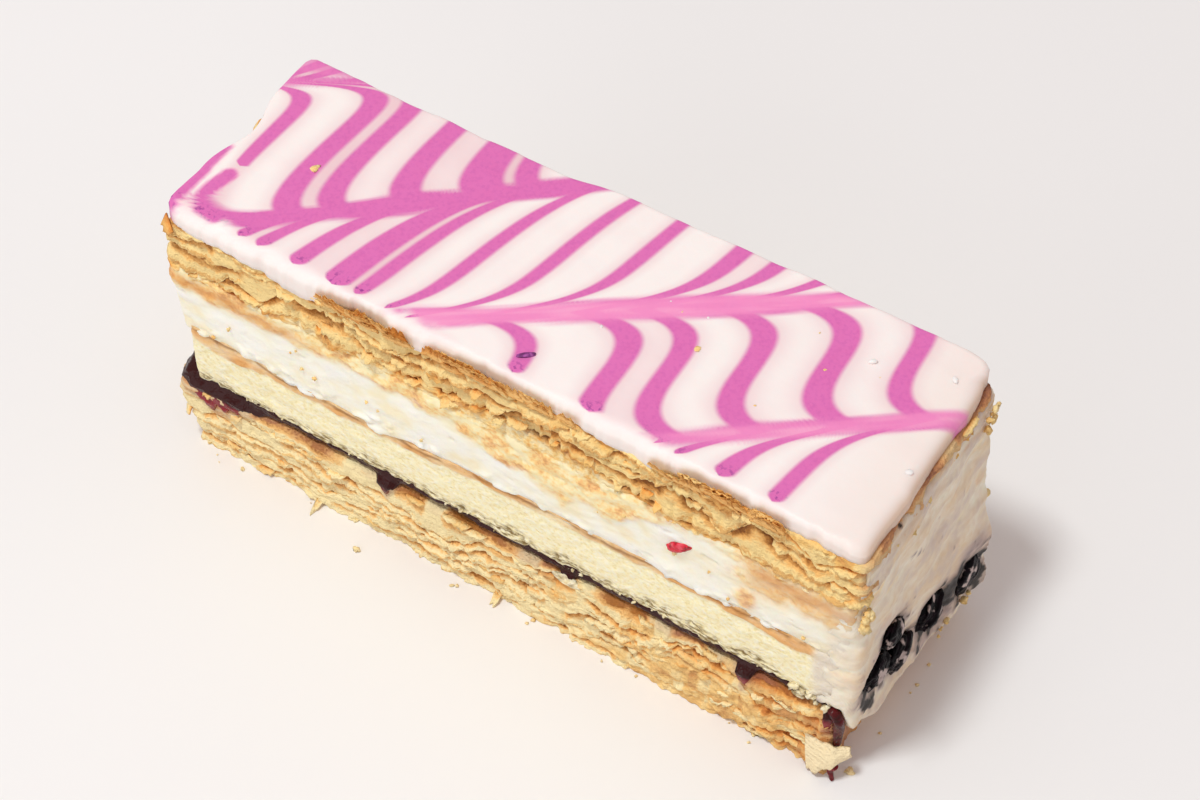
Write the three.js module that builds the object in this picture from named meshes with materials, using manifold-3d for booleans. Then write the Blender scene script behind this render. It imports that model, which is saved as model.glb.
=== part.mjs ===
// Mille feuille slice: a rectangular bar of two flaky pastry sheets round jam, sponge and
// whipped cream, topped with feathered icing. Millimetres, +Z up. X runs along the slice and
// the cream-smeared end with its blueberries faces +X. The origin is the middle of the
// underside's box.
import * as THREE from 'three';
import { mergeVertices } from 'three/addons/utils/BufferGeometryUtils.js';
import Module from 'manifold-3d';

const wasm = await Module();
wasm.setup();

// ---------- driving dimensions ----------
const BLOCK = { left: -65.5, right: 64.5, front: -21, back: 21 }; // the cut bar
const REACH_X = 69; // the jam tongue one way, the cream lip the other
const REACH_Y = 23; // how far the outermost flakes and the icing stand
const CORNER = 1.2; // radius of the bar's upright corners
const STEPS = { long: 36, short: 11 }; // steps along the sides of a layer
const SOFT_STEPS = { long: 20, short: 8 }; // the same for a layer without flakes
const GAP = 0.3; // between touching pieces

// Where each layer starts, from the table up, and the top of the icing.
const LEVEL = { base: 0, jam: 15.5, sponge: 18.1, cream: 31, lid: 45, icing: 57.5, top: 60.5 };
const END_COAT = { inner: 63.5, top: 52.5, lip: 7, cornerLip: 12.5 }; // cream smeared on the end
const BURIED_END = END_COAT.inner - GAP; // where sponge and jam stop behind that cream

// Pastry leaves: how deep the grooves between them are and how far they stand out.
const LEAF = { groove: 0.9, ragged: 0.85, jag: 0.45, undulation: 0.45, bevel: 0.5 };
const CAP_INSET = 6; // how far inside its edge a sheet is flat

// Where jam has run over the edge: distance along X, half width and how far down it hangs.
const JAM_RUNS = [
  { x: -60.5, half: 5, drop: 4.6 },
  { x: -24, half: 3.4, drop: 3.8 },
  { x: 12.5, half: 2.6, drop: 2.6 },
  { x: 46.5, half: 2.4, drop: 5 },
  { x: 62.5, half: 2, drop: 6.6 },
];

// Berries in the cream end, pressed flat by the knife: place across the slice, height, radius.
const BERRIES = [
  { y: 16.4, z: 15.2, radius: 3.9 },
  { y: 4.6, z: 16.4, radius: 3.8 },
  { y: -5.6, z: 17.2, radius: 3.3 },
  { y: -12.8, z: 19.8, radius: 3.3 },
  { y: -8.6, z: 26, radius: 2.4 },
];
const BERRY_FLATNESS = 0.5;
const BERRY_PROUD = 0.4; // how far a berry stands out of the cream
const HOLLOW_DEPTH = 1.2; // how far the cream is torn back round a berry
const FRUIT = { x: 33, z: 39.5, length: 5.6, height: 2.2, depth: 1.9, tilt: 0.62 };

// ---------- seeded waves ----------
function drawer(seed) {
  let state = seed >>> 0;
  return () => {
    state = (state + 0x6d2b79f5) >>> 0;
    let mixed = Math.imul(state ^ (state >>> 15), state | 1);
    mixed ^= mixed + Math.imul(mixed ^ (mixed >>> 7), mixed | 61);
    return ((mixed ^ (mixed >>> 14)) >>> 0) / 4294967296;
  };
}

// A smooth wave from -1 to 1 that closes round a layer, with its own number of knots.
function ringWave(seed, knots) {
  const draw = drawer(seed);
  const values = Array.from({ length: knots }, () => draw() * 2 - 1);
  return (share) => {
    const at = (share - Math.floor(share)) * knots;
    const knot = Math.floor(at);
    const ease = THREE.MathUtils.smoothstep(at - knot, 0, 1);
    return THREE.MathUtils.lerp(values[knot % knots], values[(knot + 1) % knots], ease);
  };
}

const bump = (x, middle, half) => Math.exp(-(((x - middle) / half) ** 2));
const clampReach = (point, grow = 0) => point.set(
  THREE.MathUtils.clamp(point.x, -REACH_X - grow, REACH_X + grow),
  THREE.MathUtils.clamp(point.y, -REACH_Y - grow, REACH_Y + grow),
  point.z,
);

// ---------- layers as rings round the bar ----------
// The outline of a layer: points with their outward directions, evenly spaced along each side
// and one in the middle of each corner.
function outline({ left, right, front, back }, steps) {
  const corners = [[left, front], [right, front], [right, back], [left, back]]
    .map(([x, y]) => new THREE.Vector2(x, y));
  const columns = corners.flatMap((from, side) => {
    const to = corners[(side + 1) % 4];
    const along = to.clone().sub(from).normalize();
    const outward = new THREE.Vector2(along.y, -along.x);
    const start = from.clone().addScaledVector(along, CORNER);
    const end = to.clone().addScaledVector(along, -CORNER);
    const count = side % 2 ? steps.short : steps.long;
    const straight = Array.from({ length: count + 1 }, (_, index) => (
      { at: start.clone().lerp(end, index / count), outward }));
    const slant = outward.clone().add(along).normalize();
    const turn = end.clone().addScaledVector(outward, -CORNER).addScaledVector(slant, CORNER);
    return [...straight, { at: turn, outward: slant }];
  });
  return columns.map(({ at, outward }, index) => (
    { share: index / columns.length, x: at.x, y: at.y, nx: outward.x, ny: outward.y }));
}

// A closed solid whose skin passes through the rings, from the lowest to the highest.
// Each ring is a function that gives a column its { out, inset, z }: how far out it stands,
// how far it is then drawn towards the middle, and how high it is.
function ringSolid(columns, rings, grow = 0) {
  const rows = rings.length - 1;
  const geometry = new THREE.CylinderGeometry(1, 1, 1, columns.length, rows);
  const position = geometry.getAttribute('position');
  const box = new THREE.Box2().setFromPoints(columns.map(({ x, y }) => new THREE.Vector2(x, y)));
  const middle = box.getCenter(new THREE.Vector2());
  const half = box.getSize(new THREE.Vector2()).divideScalar(2);
  const point = new THREE.Vector3();
  for (let index = 0; index < position.count; index += 1) {
    point.fromBufferAttribute(position, index);
    const row = Math.round((point.y + 0.5) * rows);
    if (Math.hypot(point.x, point.z) < 0.5) {
      point.set(middle.x, middle.y, rings[row](columns[0]).z);
    } else {
      const turn = Math.atan2(point.x, point.z) / (Math.PI * 2) + 1;
      const column = columns[Math.round(turn * columns.length) % columns.length];
      const { out, inset = 0, z } = rings[row](column);
      point.set(column.x + column.nx * out, column.y + column.ny * out, z);
      point.x += (middle.x - point.x) * (inset / half.x);
      point.y += (middle.y - point.y) * (inset / half.y);
      clampReach(point, grow);
    }
    position.setXYZ(index, point.x, point.y, point.z);
  }
  return geometry;
}

const facesEnd = (column) => column.nx > 0.35; // towards the cream-smeared end
const facesStart = (column) => column.nx < -0.35;

// How far below the pastry's top the icing hangs at a column.
const icingHang = ringWave(11, 26);
const icingSag = (column) => 0.35 + 1.5 * Math.max(0, icingHang(column.share) + 0.1)
  * (facesEnd(column) ? 0.5 : 1);

// How far the icing's far edge stands out: chipped back along one third, widest at the end.
function backEdge(x) {
  const past = THREE.MathUtils.smoothstep(x, -16, -4);
  return THREE.MathUtils.lerp(-0.9, 0.7, past) + 1.05 * THREE.MathUtils.smoothstep(x, -4, 50);
}

// How far below the base's top the jam hangs at a column of the front, or round its left corner.
function jamSag(column) {
  const drop = Math.max(...JAM_RUNS.map((run) => run.drop * bump(column.x, run.x, run.half)));
  const fade = facesStart(column)
    ? bump(column.y, BLOCK.front, 6)
    : THREE.MathUtils.smoothstep(-column.ny, 0.4, 1);
  return drop * fade;
}

// The rings of a flaky sheet: leaves that stand out unevenly, with a groove between each two.
// swell gives the sheet's large form, and skirt how far it draws in under what hangs over it.
function pastryRings({ low, high, leaves, seed, swell, skirt }) {
  const pitch = (high - low) / leaves;
  const ragged = Array.from({ length: leaves }, (_, leaf) => ringWave(seed + leaf, 38));
  const jagged = Array.from({ length: leaves }, (_, leaf) => ringWave(seed + 20 + leaf, 102));
  const lift = Array.from({ length: leaves + 1 }, (_, level) => ringWave(seed + 40 + level, 22));
  const quiet = (column) => (facesEnd(column) ? 0 : 1);
  const reach = (leaf, column) => quiet(column)
    * (LEAF.ragged * ragged[leaf](column.share) + LEAF.jag * jagged[leaf](column.share));
  const edge = (level, column) => {
    const free = level > 0 && level < leaves ? LEAF.undulation : 0;
    return low + level * pitch + free * lift[level](column.share);
  };
  const ring = (out, z) => (column) => {
    const height = z(column);
    const wanted = out(column) + quiet(column) * swell(column, height);
    return { out: Math.min(wanted, skirt(column, height)), z: height };
  };
  const rings = [];
  const inner = (z) => () => ({ out: 0, inset: CAP_INSET, z });
  rings.push(inner(low));
  for (let leaf = 0; leaf < leaves; leaf += 1) {
    const bottom = leaf === 0 ? 0 : 0.16 * pitch;
    const top = leaf === leaves - 1 ? 0 : -0.16 * pitch;
    const out = (column) => reach(leaf, column);
    rings.push(ring(out, (column) => edge(leaf, column) + bottom));
    rings.push(ring((column) => out(column) - 0.35 * LEAF.bevel,
      (column) => edge(leaf + 1, column) + top));
    if (leaf < leaves - 1) {
      const deep = (column) => Math.min(reach(leaf, column), reach(leaf + 1, column))
        - LEAF.groove * quiet(column);
      rings.push(ring(deep, (column) => edge(leaf + 1, column)));
    }
  }
  rings.push(inner(high));
  return rings;
}

// ---------- the pieces ----------
function makeBase() {
  const low = LEVEL.base;
  const high = LEVEL.jam - GAP / 2;
  const swell = (column, z) => {
    const level = z / high;
    if (facesStart(column)) return THREE.MathUtils.lerp(-2.4, 3, THREE.MathUtils.smoothstep(level, 0, 0.75));
    return 0.65 + 0.7 * THREE.MathUtils.smoothstep(column.x, -40, 20) * (1 - level);
  };
  const skirt = (column, z) => {
    const sag = jamSag(column) + 0.8;
    return z > high - sag && jamSag(column) > 0.4 ? -0.9 : Infinity;
  };
  const columns = outline({ ...BLOCK, right: BURIED_END }, STEPS);
  return ringSolid(columns, pastryRings({ low, high, leaves: 4, seed: 101, swell, skirt }));
}

function makeLid() {
  const low = LEVEL.lid + GAP / 2;
  const high = LEVEL.icing - GAP / 2;
  const swell = (column) => {
    if (facesStart(column)) return 1.1;
    return column.ny > 0.35 ? Math.max(0, backEdge(column.x) - 0.3) : 0.35;
  };
  const skirt = (column, z) => (z > high - icingSag(column) - 0.8 ? -0.7 : Infinity);
  const columns = outline({ ...BLOCK, right: BLOCK.right - 0.3 }, STEPS);
  return ringSolid(columns, pastryRings({ low, high, leaves: 4, seed: 203, swell, skirt }));
}

// A layer with a gently uneven side, from low to high, with the given bulge at each row.
function makeSoftLayer({ low, high, box, rows, seed, rough, bulge }) {
  const columns = outline(box, SOFT_STEPS);
  const rings = Array.from({ length: rows + 1 }, (_, row) => {
    const wave = ringWave(seed + row, 30);
    return (column) => ({
      out: (facesEnd(column) ? 0 : rough * wave(column.share)) + bulge(column, row / rows),
      z: THREE.MathUtils.lerp(low, high, row / rows),
    });
  });
  return ringSolid(columns, rings);
}

function makeSponge() {
  return makeSoftLayer({
    low: LEVEL.sponge + GAP / 2,
    high: LEVEL.cream - GAP / 2,
    box: { ...BLOCK, left: BLOCK.left + 1.2, right: BURIED_END },
    rows: 5,
    seed: 301,
    rough: 0.3,
    bulge: (column, level) => (facesEnd(column) ? 0 : 0.25 * Math.sin(Math.PI * level) - 0.1),
  });
}

// Jam, with a glossy bead round its edge that hangs over the base where it has run.
// Grown by the gap, it is the seat that its runs need in the base.
function makeJam(grow = 0) {
  const low = LEVEL.jam + GAP / 2 - grow;
  const high = LEVEL.sponge - GAP / 2;
  const bead = ringWave(401, 34);
  const out = (column) => {
    if (facesEnd(column)) return 0;
    const tongue = facesStart(column) ? 3 * bump(column.y, -15, 9) : 0;
    return 0.35 + 0.4 * bead(column.share) + tongue;
  };
  const rings = [
    () => ({ out: -0.7 - grow, z: low }),
    (column) => ({ out: -0.6 - grow, z: low - jamSag(column) }),
    (column) => ({ out: out(column) + grow, z: low - 0.9 * jamSag(column) + 0.3 - grow }),
    (column) => ({ out: out(column) - 0.15 + grow, z: high - 0.5 }),
    (column) => ({ out: Math.min(0, out(column)) - 0.3, z: high }),
  ];
  return ringSolid(outline({ ...BLOCK, right: BURIED_END }, STEPS), rings, grow);
}

// Icing: a flat sheet with a round shoulder, whose lower edge hangs over the pastry.
// Grown by the gap, it is the seat that its hanging edge needs in the pastry.
function makeIcing(grow = 0) {
  const low = LEVEL.icing + GAP / 2 - grow;
  const edge = ringWave(501, 24);
  const shape = ({ x, y, nx, ny, share }) => {
    const end = -0.3 - 0.8 * bump(y, BLOCK.back, 4);
    const start = 0.8 - 1.3 * bump(y, 1, 5);
    const back = backEdge(x) - 1.4 * bump(x, BLOCK.right, 3);
    const front = 0.6 - 0.5 * bump(x, BLOCK.left, 2.5);
    return nx ** 2 * (nx > 0 ? end : start) + ny ** 2 * (ny > 0 ? back : front)
      + (0.2 - 0.1 * ny) * edge(share);
  };
  const lip = (column) => low - icingSag(column);
  const shoulder = (column) => (column.ny < -0.35 ? 0.75 : 0.3); // rounder where it hangs down
  const rings = [
    () => ({ out: 0, inset: 2.4 + grow, z: low }),
    (column) => ({ out: Math.min(-0.35, shape(column) - 0.5) - grow, z: lip(column) + 0.1 }),
    (column) => ({ out: shape(column) + grow, z: lip(column) + 0.25 }),
    (column) => ({ out: shape(column) + 0.05 + grow, z: low + 1.1 }),
    (column) => ({ out: shape(column) - 0.7 * shoulder(column), z: LEVEL.top - shoulder(column) }),
    (column) => ({ out: shape(column), inset: 3 * shoulder(column), z: LEVEL.top - 0.1 }),
    (column) => ({ out: shape(column), inset: 5, z: LEVEL.top }),
  ];
  return ringSolid(outline(BLOCK, STEPS), rings, grow);
}

// How far the cream on the end stands out along X, with a belly that grows towards the back.
function coatFace(y, z) {
  const across = (y / BLOCK.back + 1) / 2;
  const belly = (1.1 + 4.3 * across ** 2) * bump(z, 13, 19);
  const smear = 0.2 * Math.sin(y * 0.55 + z * 0.21) + 0.15 * Math.sin(z * 0.62 - y * 0.3);
  return 65.2 + belly + smear;
}

// How far it is torn back from that at a place near a berry.
const hollow = (y, z) => Math.max(...BERRIES.map((berry) => HOLLOW_DEPTH
  * bump(Math.hypot(y - berry.y, z - berry.z), 0, berry.radius * 1.15)));

function makeCoat() {
  const { inner, top, lip, cornerLip } = END_COAT;
  const geometry = new THREE.BoxGeometry(1, 1, 1, 2, 14, 16);
  geometry.rotateX(Math.PI / 2);
  const position = geometry.getAttribute('position');
  const point = new THREE.Vector3();
  for (let index = 0; index < position.count; index += 1) {
    point.fromBufferAttribute(position, index);
    const outwards = point.x + 0.5;
    const y = point.y * (BLOCK.back - BLOCK.front);
    const low = THREE.MathUtils.lerp(lip, cornerLip, THREE.MathUtils.smoothstep(-y, 12, 20.5));
    const z = THREE.MathUtils.lerp(low, top, point.z + 0.5);
    const round = (1 - 0.4 * Math.abs(point.y * 2) ** 10) * (1 - 0.7 * Math.abs(point.z * 2) ** 14);
    const draw = 1 + 0.03 * outwards * Math.sign(point.y) * bump(z, 24, 20);
    const depth = coatFace(y, z) - hollow(y, z) - inner;
    point.set(inner + depth * outwards * round, y * draw, z);
    clampReach(point);
    position.setXYZ(index, point.x, point.y, point.z);
  }
  return geometry;
}

// The step that the end's cream needs in the pastry above it.
function makeCoatSeat() {
  const depth = REACH_X - BURIED_END;
  const height = END_COAT.top + GAP - LEVEL.cream;
  const geometry = new THREE.BoxGeometry(depth, REACH_Y * 2 + 2, height);
  return geometry.translate(BURIED_END + depth / 2, 0, LEVEL.cream + height / 2);
}

function makeCreamLayer() {
  return makeSoftLayer({
    low: LEVEL.cream + GAP / 2,
    high: LEVEL.lid - GAP / 2,
    box: { ...BLOCK, right: END_COAT.inner + 0.7 },
    rows: 4,
    seed: 601,
    rough: 0.4,
    bulge: (column, level) => {
      if (facesEnd(column)) return 0;
      return (facesStart(column) ? 1 : 0.35) * Math.sin(Math.PI * level);
    },
  });
}

function berryGeometry(berry, grow = 0) {
  const geometry = new THREE.SphereGeometry(berry.radius + grow, 10, 8);
  geometry.scale(BERRY_FLATNESS, 1, 0.94);
  const front = Math.min(coatFace(berry.y, berry.z) + BERRY_PROUD, REACH_X);
  geometry.translate(front - BERRY_FLATNESS * berry.radius, berry.y, berry.z);
  return geometry;
}

function fruitGeometry(grow = 0) {
  const { x, z, length, height, depth, tilt } = FRUIT;
  const geometry = new THREE.SphereGeometry(1, 10, 6);
  geometry.scale(length / 2 + grow, depth / 2 + grow, height / 2 + grow);
  geometry.rotateY(-tilt);
  geometry.translate(x, BLOCK.front - 0.1, z);
  return geometry;
}

// ---------- joining and cutting ----------
function solidOf(geometry) {
  geometry.deleteAttribute('normal');
  geometry.deleteAttribute('uv');
  const merged = mergeVertices(geometry, 1e-4);
  return new wasm.Manifold(new wasm.Mesh({
    numProp: 3,
    vertProperties: new Float32Array(merged.getAttribute('position').array),
    triVerts: new Uint32Array(merged.getIndex().array),
  }));
}

function geometryOf(solid) {
  const mesh = solid.getMesh();
  const geometry = new THREE.BufferGeometry();
  geometry.setAttribute('position', new THREE.BufferAttribute(mesh.vertProperties, 3));
  geometry.setIndex(new THREE.BufferAttribute(mesh.triVerts, 1));
  geometry.computeVertexNormals();
  return geometry;
}

// Cream is one body: the layer and the end it was smeared over, with a seat for each fruit.
function makeCream() {
  let cream = solidOf(makeCreamLayer()).add(solidOf(makeCoat()));
  BERRIES.forEach((berry) => { cream = cream.subtract(solidOf(berryGeometry(berry, GAP))); });
  cream = cream.subtract(solidOf(fruitGeometry(GAP)));
  return geometryOf(cream);
}

// ---------- the scene graph ----------
const slice = new THREE.Group();
slice.name = 'mille_feuille_slice';

function addPiece(name, geometry, color, roughness) {
  const material = new THREE.MeshStandardMaterial({ color, roughness, metalness: 0 });
  const piece = new THREE.Mesh(geometry, material);
  piece.name = name;
  slice.add(piece);
}

const base = solidOf(makeBase()).subtract(solidOf(makeJam(GAP)));
const lid = solidOf(makeLid()).subtract(solidOf(makeIcing(GAP))).subtract(solidOf(makeCoatSeat()));
addPiece('base_pastry', geometryOf(base), 0xe6b873, 0.85);
addPiece('jam_layer', geometryOf(solidOf(makeJam())), 0x3a1a20, 0.25);
addPiece('sponge_layer', geometryOf(solidOf(makeSponge())), 0xf2e4b6, 0.95);
addPiece('cream_filling', makeCream(), 0xfbf4e4, 0.6);
addPiece('lid_pastry', geometryOf(lid), 0xdfaa68, 0.85);
addPiece('feathered_icing', geometryOf(solidOf(makeIcing())), 0xf8e6e4, 0.3);
BERRIES.forEach((berry, index) => {
  addPiece(`blueberry_${index + 1}`, geometryOf(solidOf(berryGeometry(berry))), 0x1c1624, 0.45);
});
addPiece('red_fruit_piece', geometryOf(solidOf(fruitGeometry())), 0xc2183a, 0.35);

export default slice;
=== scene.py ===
"""Dresses a mille feuille slice: flaky pastry, jam, sponge, whipped cream and feathered icing.

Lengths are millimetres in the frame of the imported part: X along the slice, Y across it, Z up.
They become metres only where vertices are written.
"""

import logging
import math
from dataclasses import dataclass, replace
from enum import Enum
from typing import ClassVar, Sequence

import bmesh
import bpy
import numpy as np
from mathutils import Matrix, Vector


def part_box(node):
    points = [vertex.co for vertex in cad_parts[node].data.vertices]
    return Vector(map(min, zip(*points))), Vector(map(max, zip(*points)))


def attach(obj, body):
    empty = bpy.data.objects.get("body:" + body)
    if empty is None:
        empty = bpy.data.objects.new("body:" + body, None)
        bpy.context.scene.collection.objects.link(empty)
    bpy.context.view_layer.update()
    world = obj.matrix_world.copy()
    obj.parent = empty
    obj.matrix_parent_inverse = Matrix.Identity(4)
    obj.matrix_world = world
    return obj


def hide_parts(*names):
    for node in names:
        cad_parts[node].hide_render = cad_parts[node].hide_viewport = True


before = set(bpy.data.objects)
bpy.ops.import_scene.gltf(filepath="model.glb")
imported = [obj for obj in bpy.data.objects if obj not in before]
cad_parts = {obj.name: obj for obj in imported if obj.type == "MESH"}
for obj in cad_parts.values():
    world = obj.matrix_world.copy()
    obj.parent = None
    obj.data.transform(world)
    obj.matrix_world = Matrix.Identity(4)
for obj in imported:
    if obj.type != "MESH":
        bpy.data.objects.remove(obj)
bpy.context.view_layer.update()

log = logging.getLogger("mille_feuille")

# Short names for the types that most functions share.
Array = np.ndarray
Mesh = bpy.types.Mesh
Piece = bpy.types.Object
Tree = bpy.types.NodeTree
Socket = bpy.types.NodeSocket
Pair = tuple[float, float]
Triple = tuple[float, float, float]
Traits = dict[str, Array | float]
Sockets = dict[str, Socket]

MM = 0.001
WELD = 1e-6  # metres within which vertices are one


# ---------- seeded noise ----------
def scramble(seed: int, *cells: Array) -> Array:
    """Turns whole-number places into evenly spread random numbers.

    Args:
        seed: Which of the many spreads to use.
        cells: One array of whole numbers for each direction.

    Returns:
        Numbers from 0 to 1, in the cells' common shape.
    """
    word = np.uint64(0xFFFFFFFF)
    mixed = np.full(np.broadcast(*cells).shape, seed * 2654435761 % 2**32, np.uint64)
    for cell in cells:
        mixed = mixed ^ (cell.astype(np.int64) & 0xFFFFFFFF).astype(np.uint64)
        mixed = (mixed * np.uint64(0x9E3779B1)) & word
        mixed ^= mixed >> np.uint64(15)
        mixed = (mixed * np.uint64(0x85EBCA6B)) & word
        mixed ^= mixed >> np.uint64(13)
    return mixed.astype(float) / 2**32


def smooth(value: Array, low: float = 0.0, high: float = 1.0) -> Array:
    """Eases from 0 at low to 1 at high."""
    share = np.clip((value - low) / (high - low), 0, 1)
    return share * share * (3 - 2 * share)


def bump(value: Array, middle: float, half: float) -> Array:
    """A bell of height 1 round the middle."""
    return np.exp(-(((value - middle) / half) ** 2))


def grain(along: Array, up: Array, size: Pair, seed: int, around: float = 0.0) -> Array:
    """Smooth noise over a surface.

    Args:
        along: Places in the first direction, in millimetres.
        up: Places in the second direction. Whole numbers with a size of 1 give separate rows.
        size: The size of a blob in each direction.
        seed: Which noise.
        around: The length after which the first direction closes on itself, or 0.

    Returns:
        Numbers from -1 to 1.
    """
    count = max(2, round(around / size[0])) if around else 0
    first = along * count / around if around else along / size[0]
    second = np.broadcast_to(up / size[1], np.broadcast(along, up).shape)
    first = np.broadcast_to(first, second.shape)
    column, row = np.floor(first), np.floor(second)
    ease_first, ease_second = smooth(first - column), smooth(second - row)

    def corner(right: int, above: int) -> Array:
        """The random number at one corner of each cell."""
        turned = (column + right) % count if count else column + right
        return scramble(seed, turned, row + above) * 2 - 1

    low = corner(0, 0) * (1 - ease_first) + corner(1, 0) * ease_first
    high = corner(0, 1) * (1 - ease_first) + corner(1, 1) * ease_first
    return low * (1 - ease_second) + high * ease_second


def rough(along: Array, up: Array, size: Pair, seed: int, around: float = 0.0, octaves: int = 3) -> Array:
    """Several grains on top of each other, each half as large and as strong as the last.

    Args:
        along: Places in the first direction, in millimetres.
        up: Places in the second direction.
        size: The size of the largest blobs in each direction.
        seed: Which noise.
        around: The length after which the first direction closes on itself, or 0.
        octaves: How many grains.

    Returns:
        Numbers mostly from -1 to 1.
    """
    total, weight = 0.0, 0.0
    for octave in range(octaves):
        share = 0.5**octave
        blob = (size[0] * share, size[1] * share)
        total = total + share * grain(along, up, blob, seed + 31 * octave, around)
        weight += share
    return total / weight * 1.4


def plates(along: Array, leaf: Array, size: float, seed: int, around: float) -> tuple[Array, Array]:
    """Breaks every leaf into plates of uneven length.

    Args:
        along: Places round the piece, in millimetres.
        leaf: The number of the leaf at each place.
        size: The mean length of a plate.
        seed: Which plates.
        around: The length after which the places close on themselves.

    Returns:
        Where in its plate each place is, from -1 to 1, and the plate's number.
    """
    count = max(3, round(around / size))
    place = along * count / around + 0 * leaf

    def edge(cell: Array) -> Array:
        """Where a plate starts."""
        return cell + 0.8 * (scramble(seed, cell % count, leaf) - 0.5)

    cell = np.floor(place)
    cell = cell - (place < edge(cell)) + (place >= edge(cell + 1))
    low, high = edge(cell), edge(cell + 1)
    return 2 * (place - low) / (high - low) - 1, cell % count


# ---------- outlines and skins ----------
@dataclass(frozen=True)
class Walk:
    """Places round an outline, each with the direction that faces outwards there.

    ridge holds the x of the point on the middle line that a cap draws each place in to.
    """

    x: Array
    y: Array
    nx: Array
    ny: Array
    arc: Array
    ridge: Array

    @property
    def around(self) -> float:
        """The length of the whole walk."""
        return float(self.arc[-1])

    @property
    def front(self) -> Array:
        """1 on the front, easing to 0 round its corners."""
        return np.where(self.ny < 0, self.ny**2, 0)

    @property
    def back(self) -> Array:
        """1 on the back, easing to 0 round its corners."""
        return np.where(self.ny > 0, self.ny**2, 0)

    @property
    def start(self) -> Array:
        """1 on the clean cut end, easing to 0 round its corners."""
        return np.where(self.nx < 0, self.nx**2, 0)

    @property
    def end(self) -> Array:
        """1 on the cream-smeared end, easing to 0 round its corners."""
        return np.where(self.nx > 0, self.nx**2, 0)

    def grain(self, up: Array | float, size: Pair, seed: int) -> Array:
        """Smooth noise round the outline, as grain() makes it."""
        return grain(self.arc, up, size, seed, self.around)

    def rough(self, up: Array | float, size: Pair, seed: int, octaves: int = 3) -> Array:
        """Layered noise round the outline, as rough() makes it."""
        return rough(self.arc, up, size, seed, self.around, octaves)

    def at(self, arc: Array) -> "Walk":
        """Finds the places at other distances round the same outline.

        Args:
            arc: The distances.

        Returns:
            The places there.
        """
        found = [np.interp(arc, self.arc, values) for values in (self.x, self.y, self.nx, self.ny)]
        length = np.hypot(found[2], found[3])
        return Walk(found[0], found[1], found[2] / length, found[3] / length, arc, found[0] * 0)


@dataclass(frozen=True)
class Outline:
    """A layer's outline seen from above, walked from the front's left corner to the right."""

    left: float = -65.5
    right: float = 64.5
    front: float = -21.0
    back: float = 21.0
    corner: float = 1.2
    pitch: float = 0.4

    def walk(self) -> Walk:
        """Places the outline's columns.

        Returns:
            The walk, whose last place is its first again.
        """
        half = (self.back - self.front) / 2
        # The middle line's end that each corner is drawn in to, then the corners themselves.
        ridge = (self.left + half, self.right - half, self.right - half, self.left + half)
        ridge += ridge[:1]
        across = (self.front, self.front, self.back, self.back)
        corners = list(zip((self.left, self.right, self.right, self.left), across))
        turn = np.linspace(0, math.pi / 2, 5)[1:-1]
        rows: list[Array] = []
        for side in range(4):
            start = np.array(corners[side])
            end = np.array(corners[(side + 1) % 4])
            length = np.linalg.norm(end - start)
            along = (end - start) / length
            outward = np.array([along[1], -along[0]])
            count = round((length - 2 * self.corner) / self.pitch)
            share = np.linspace(0, 1, count + 1)
            straight = (start + along * self.corner)[None] + np.outer(
                share, along * (length - 2 * self.corner)
            )
            first, last = ridge[side : side + 2]
            normal = np.tile(outward, (count + 1, 1))
            rows.append(np.column_stack([straight, normal, first + share * (last - first)]))
            pivot = end - along * self.corner - outward * self.corner
            bend = np.outer(np.cos(turn), outward) + np.outer(np.sin(turn), along)
            at_ridge = np.full(len(turn), last)
            rows.append(np.column_stack([pivot + bend * self.corner, bend, at_ridge]))
        table = np.vstack(rows)
        table = np.vstack([table, table[:1]])
        steps = np.hypot(*np.diff(table[:, :2], axis=0).T)
        arc = np.concatenate([[0], np.cumsum(steps)])
        return Walk(*table[:, :4].T, arc, table[:, 4])


def ring_points(walk: Walk, out: Array, height: Array, inset: Array) -> Array:
    """Turns offsets from an outline into points.

    Args:
        walk: The outline's places, one for each column.
        out: How far each point stands out, rows by columns.
        height: How high each point is.
        inset: The share of the way to the middle line that each row or point is drawn in.

    Returns:
        Rows by columns by 3, in millimetres.
    """
    inset = inset if inset.ndim == 2 else inset[:, None]
    x, y = walk.x + walk.nx * out, walk.y + walk.ny * out
    x = x + (walk.ridge - x) * inset
    y = y * (1 - inset)
    return np.stack([x, y, np.broadcast_to(height, x.shape)], axis=-1)


def settled(work: bmesh.types.BMesh, name: str) -> tuple[Mesh, Array]:
    """Turns worked faces into a mesh and frees them.

    Args:
        work: The faces.
        name: The mesh's name.

    Returns:
        The mesh, and the places of its vertices, one to a row.
    """
    mesh = bpy.data.meshes.new(name)
    work.to_mesh(mesh)
    work.free()
    flat = np.empty(len(mesh.vertices) * 3, np.float32)
    mesh.vertices.foreach_get("co", flat)
    return mesh, flat.reshape(-1, 3)


def set_trait(mesh: Mesh, trait: str, values: Array) -> None:
    """Gives every vertex a value that the finish reads by the trait's name."""
    values = np.asarray(values, np.float32).ravel()
    mesh.attributes.new(trait, "FLOAT", "POINT").data.foreach_set("value", values)


def capped(values: Array, below: int, above: int) -> Array:
    """Repeats the first and the last row of some values for the rows of a cap."""
    first, last = np.repeat(values[:1], below, axis=0), np.repeat(values[-1:], above, axis=0)
    return np.vstack([first, values, last])


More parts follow.
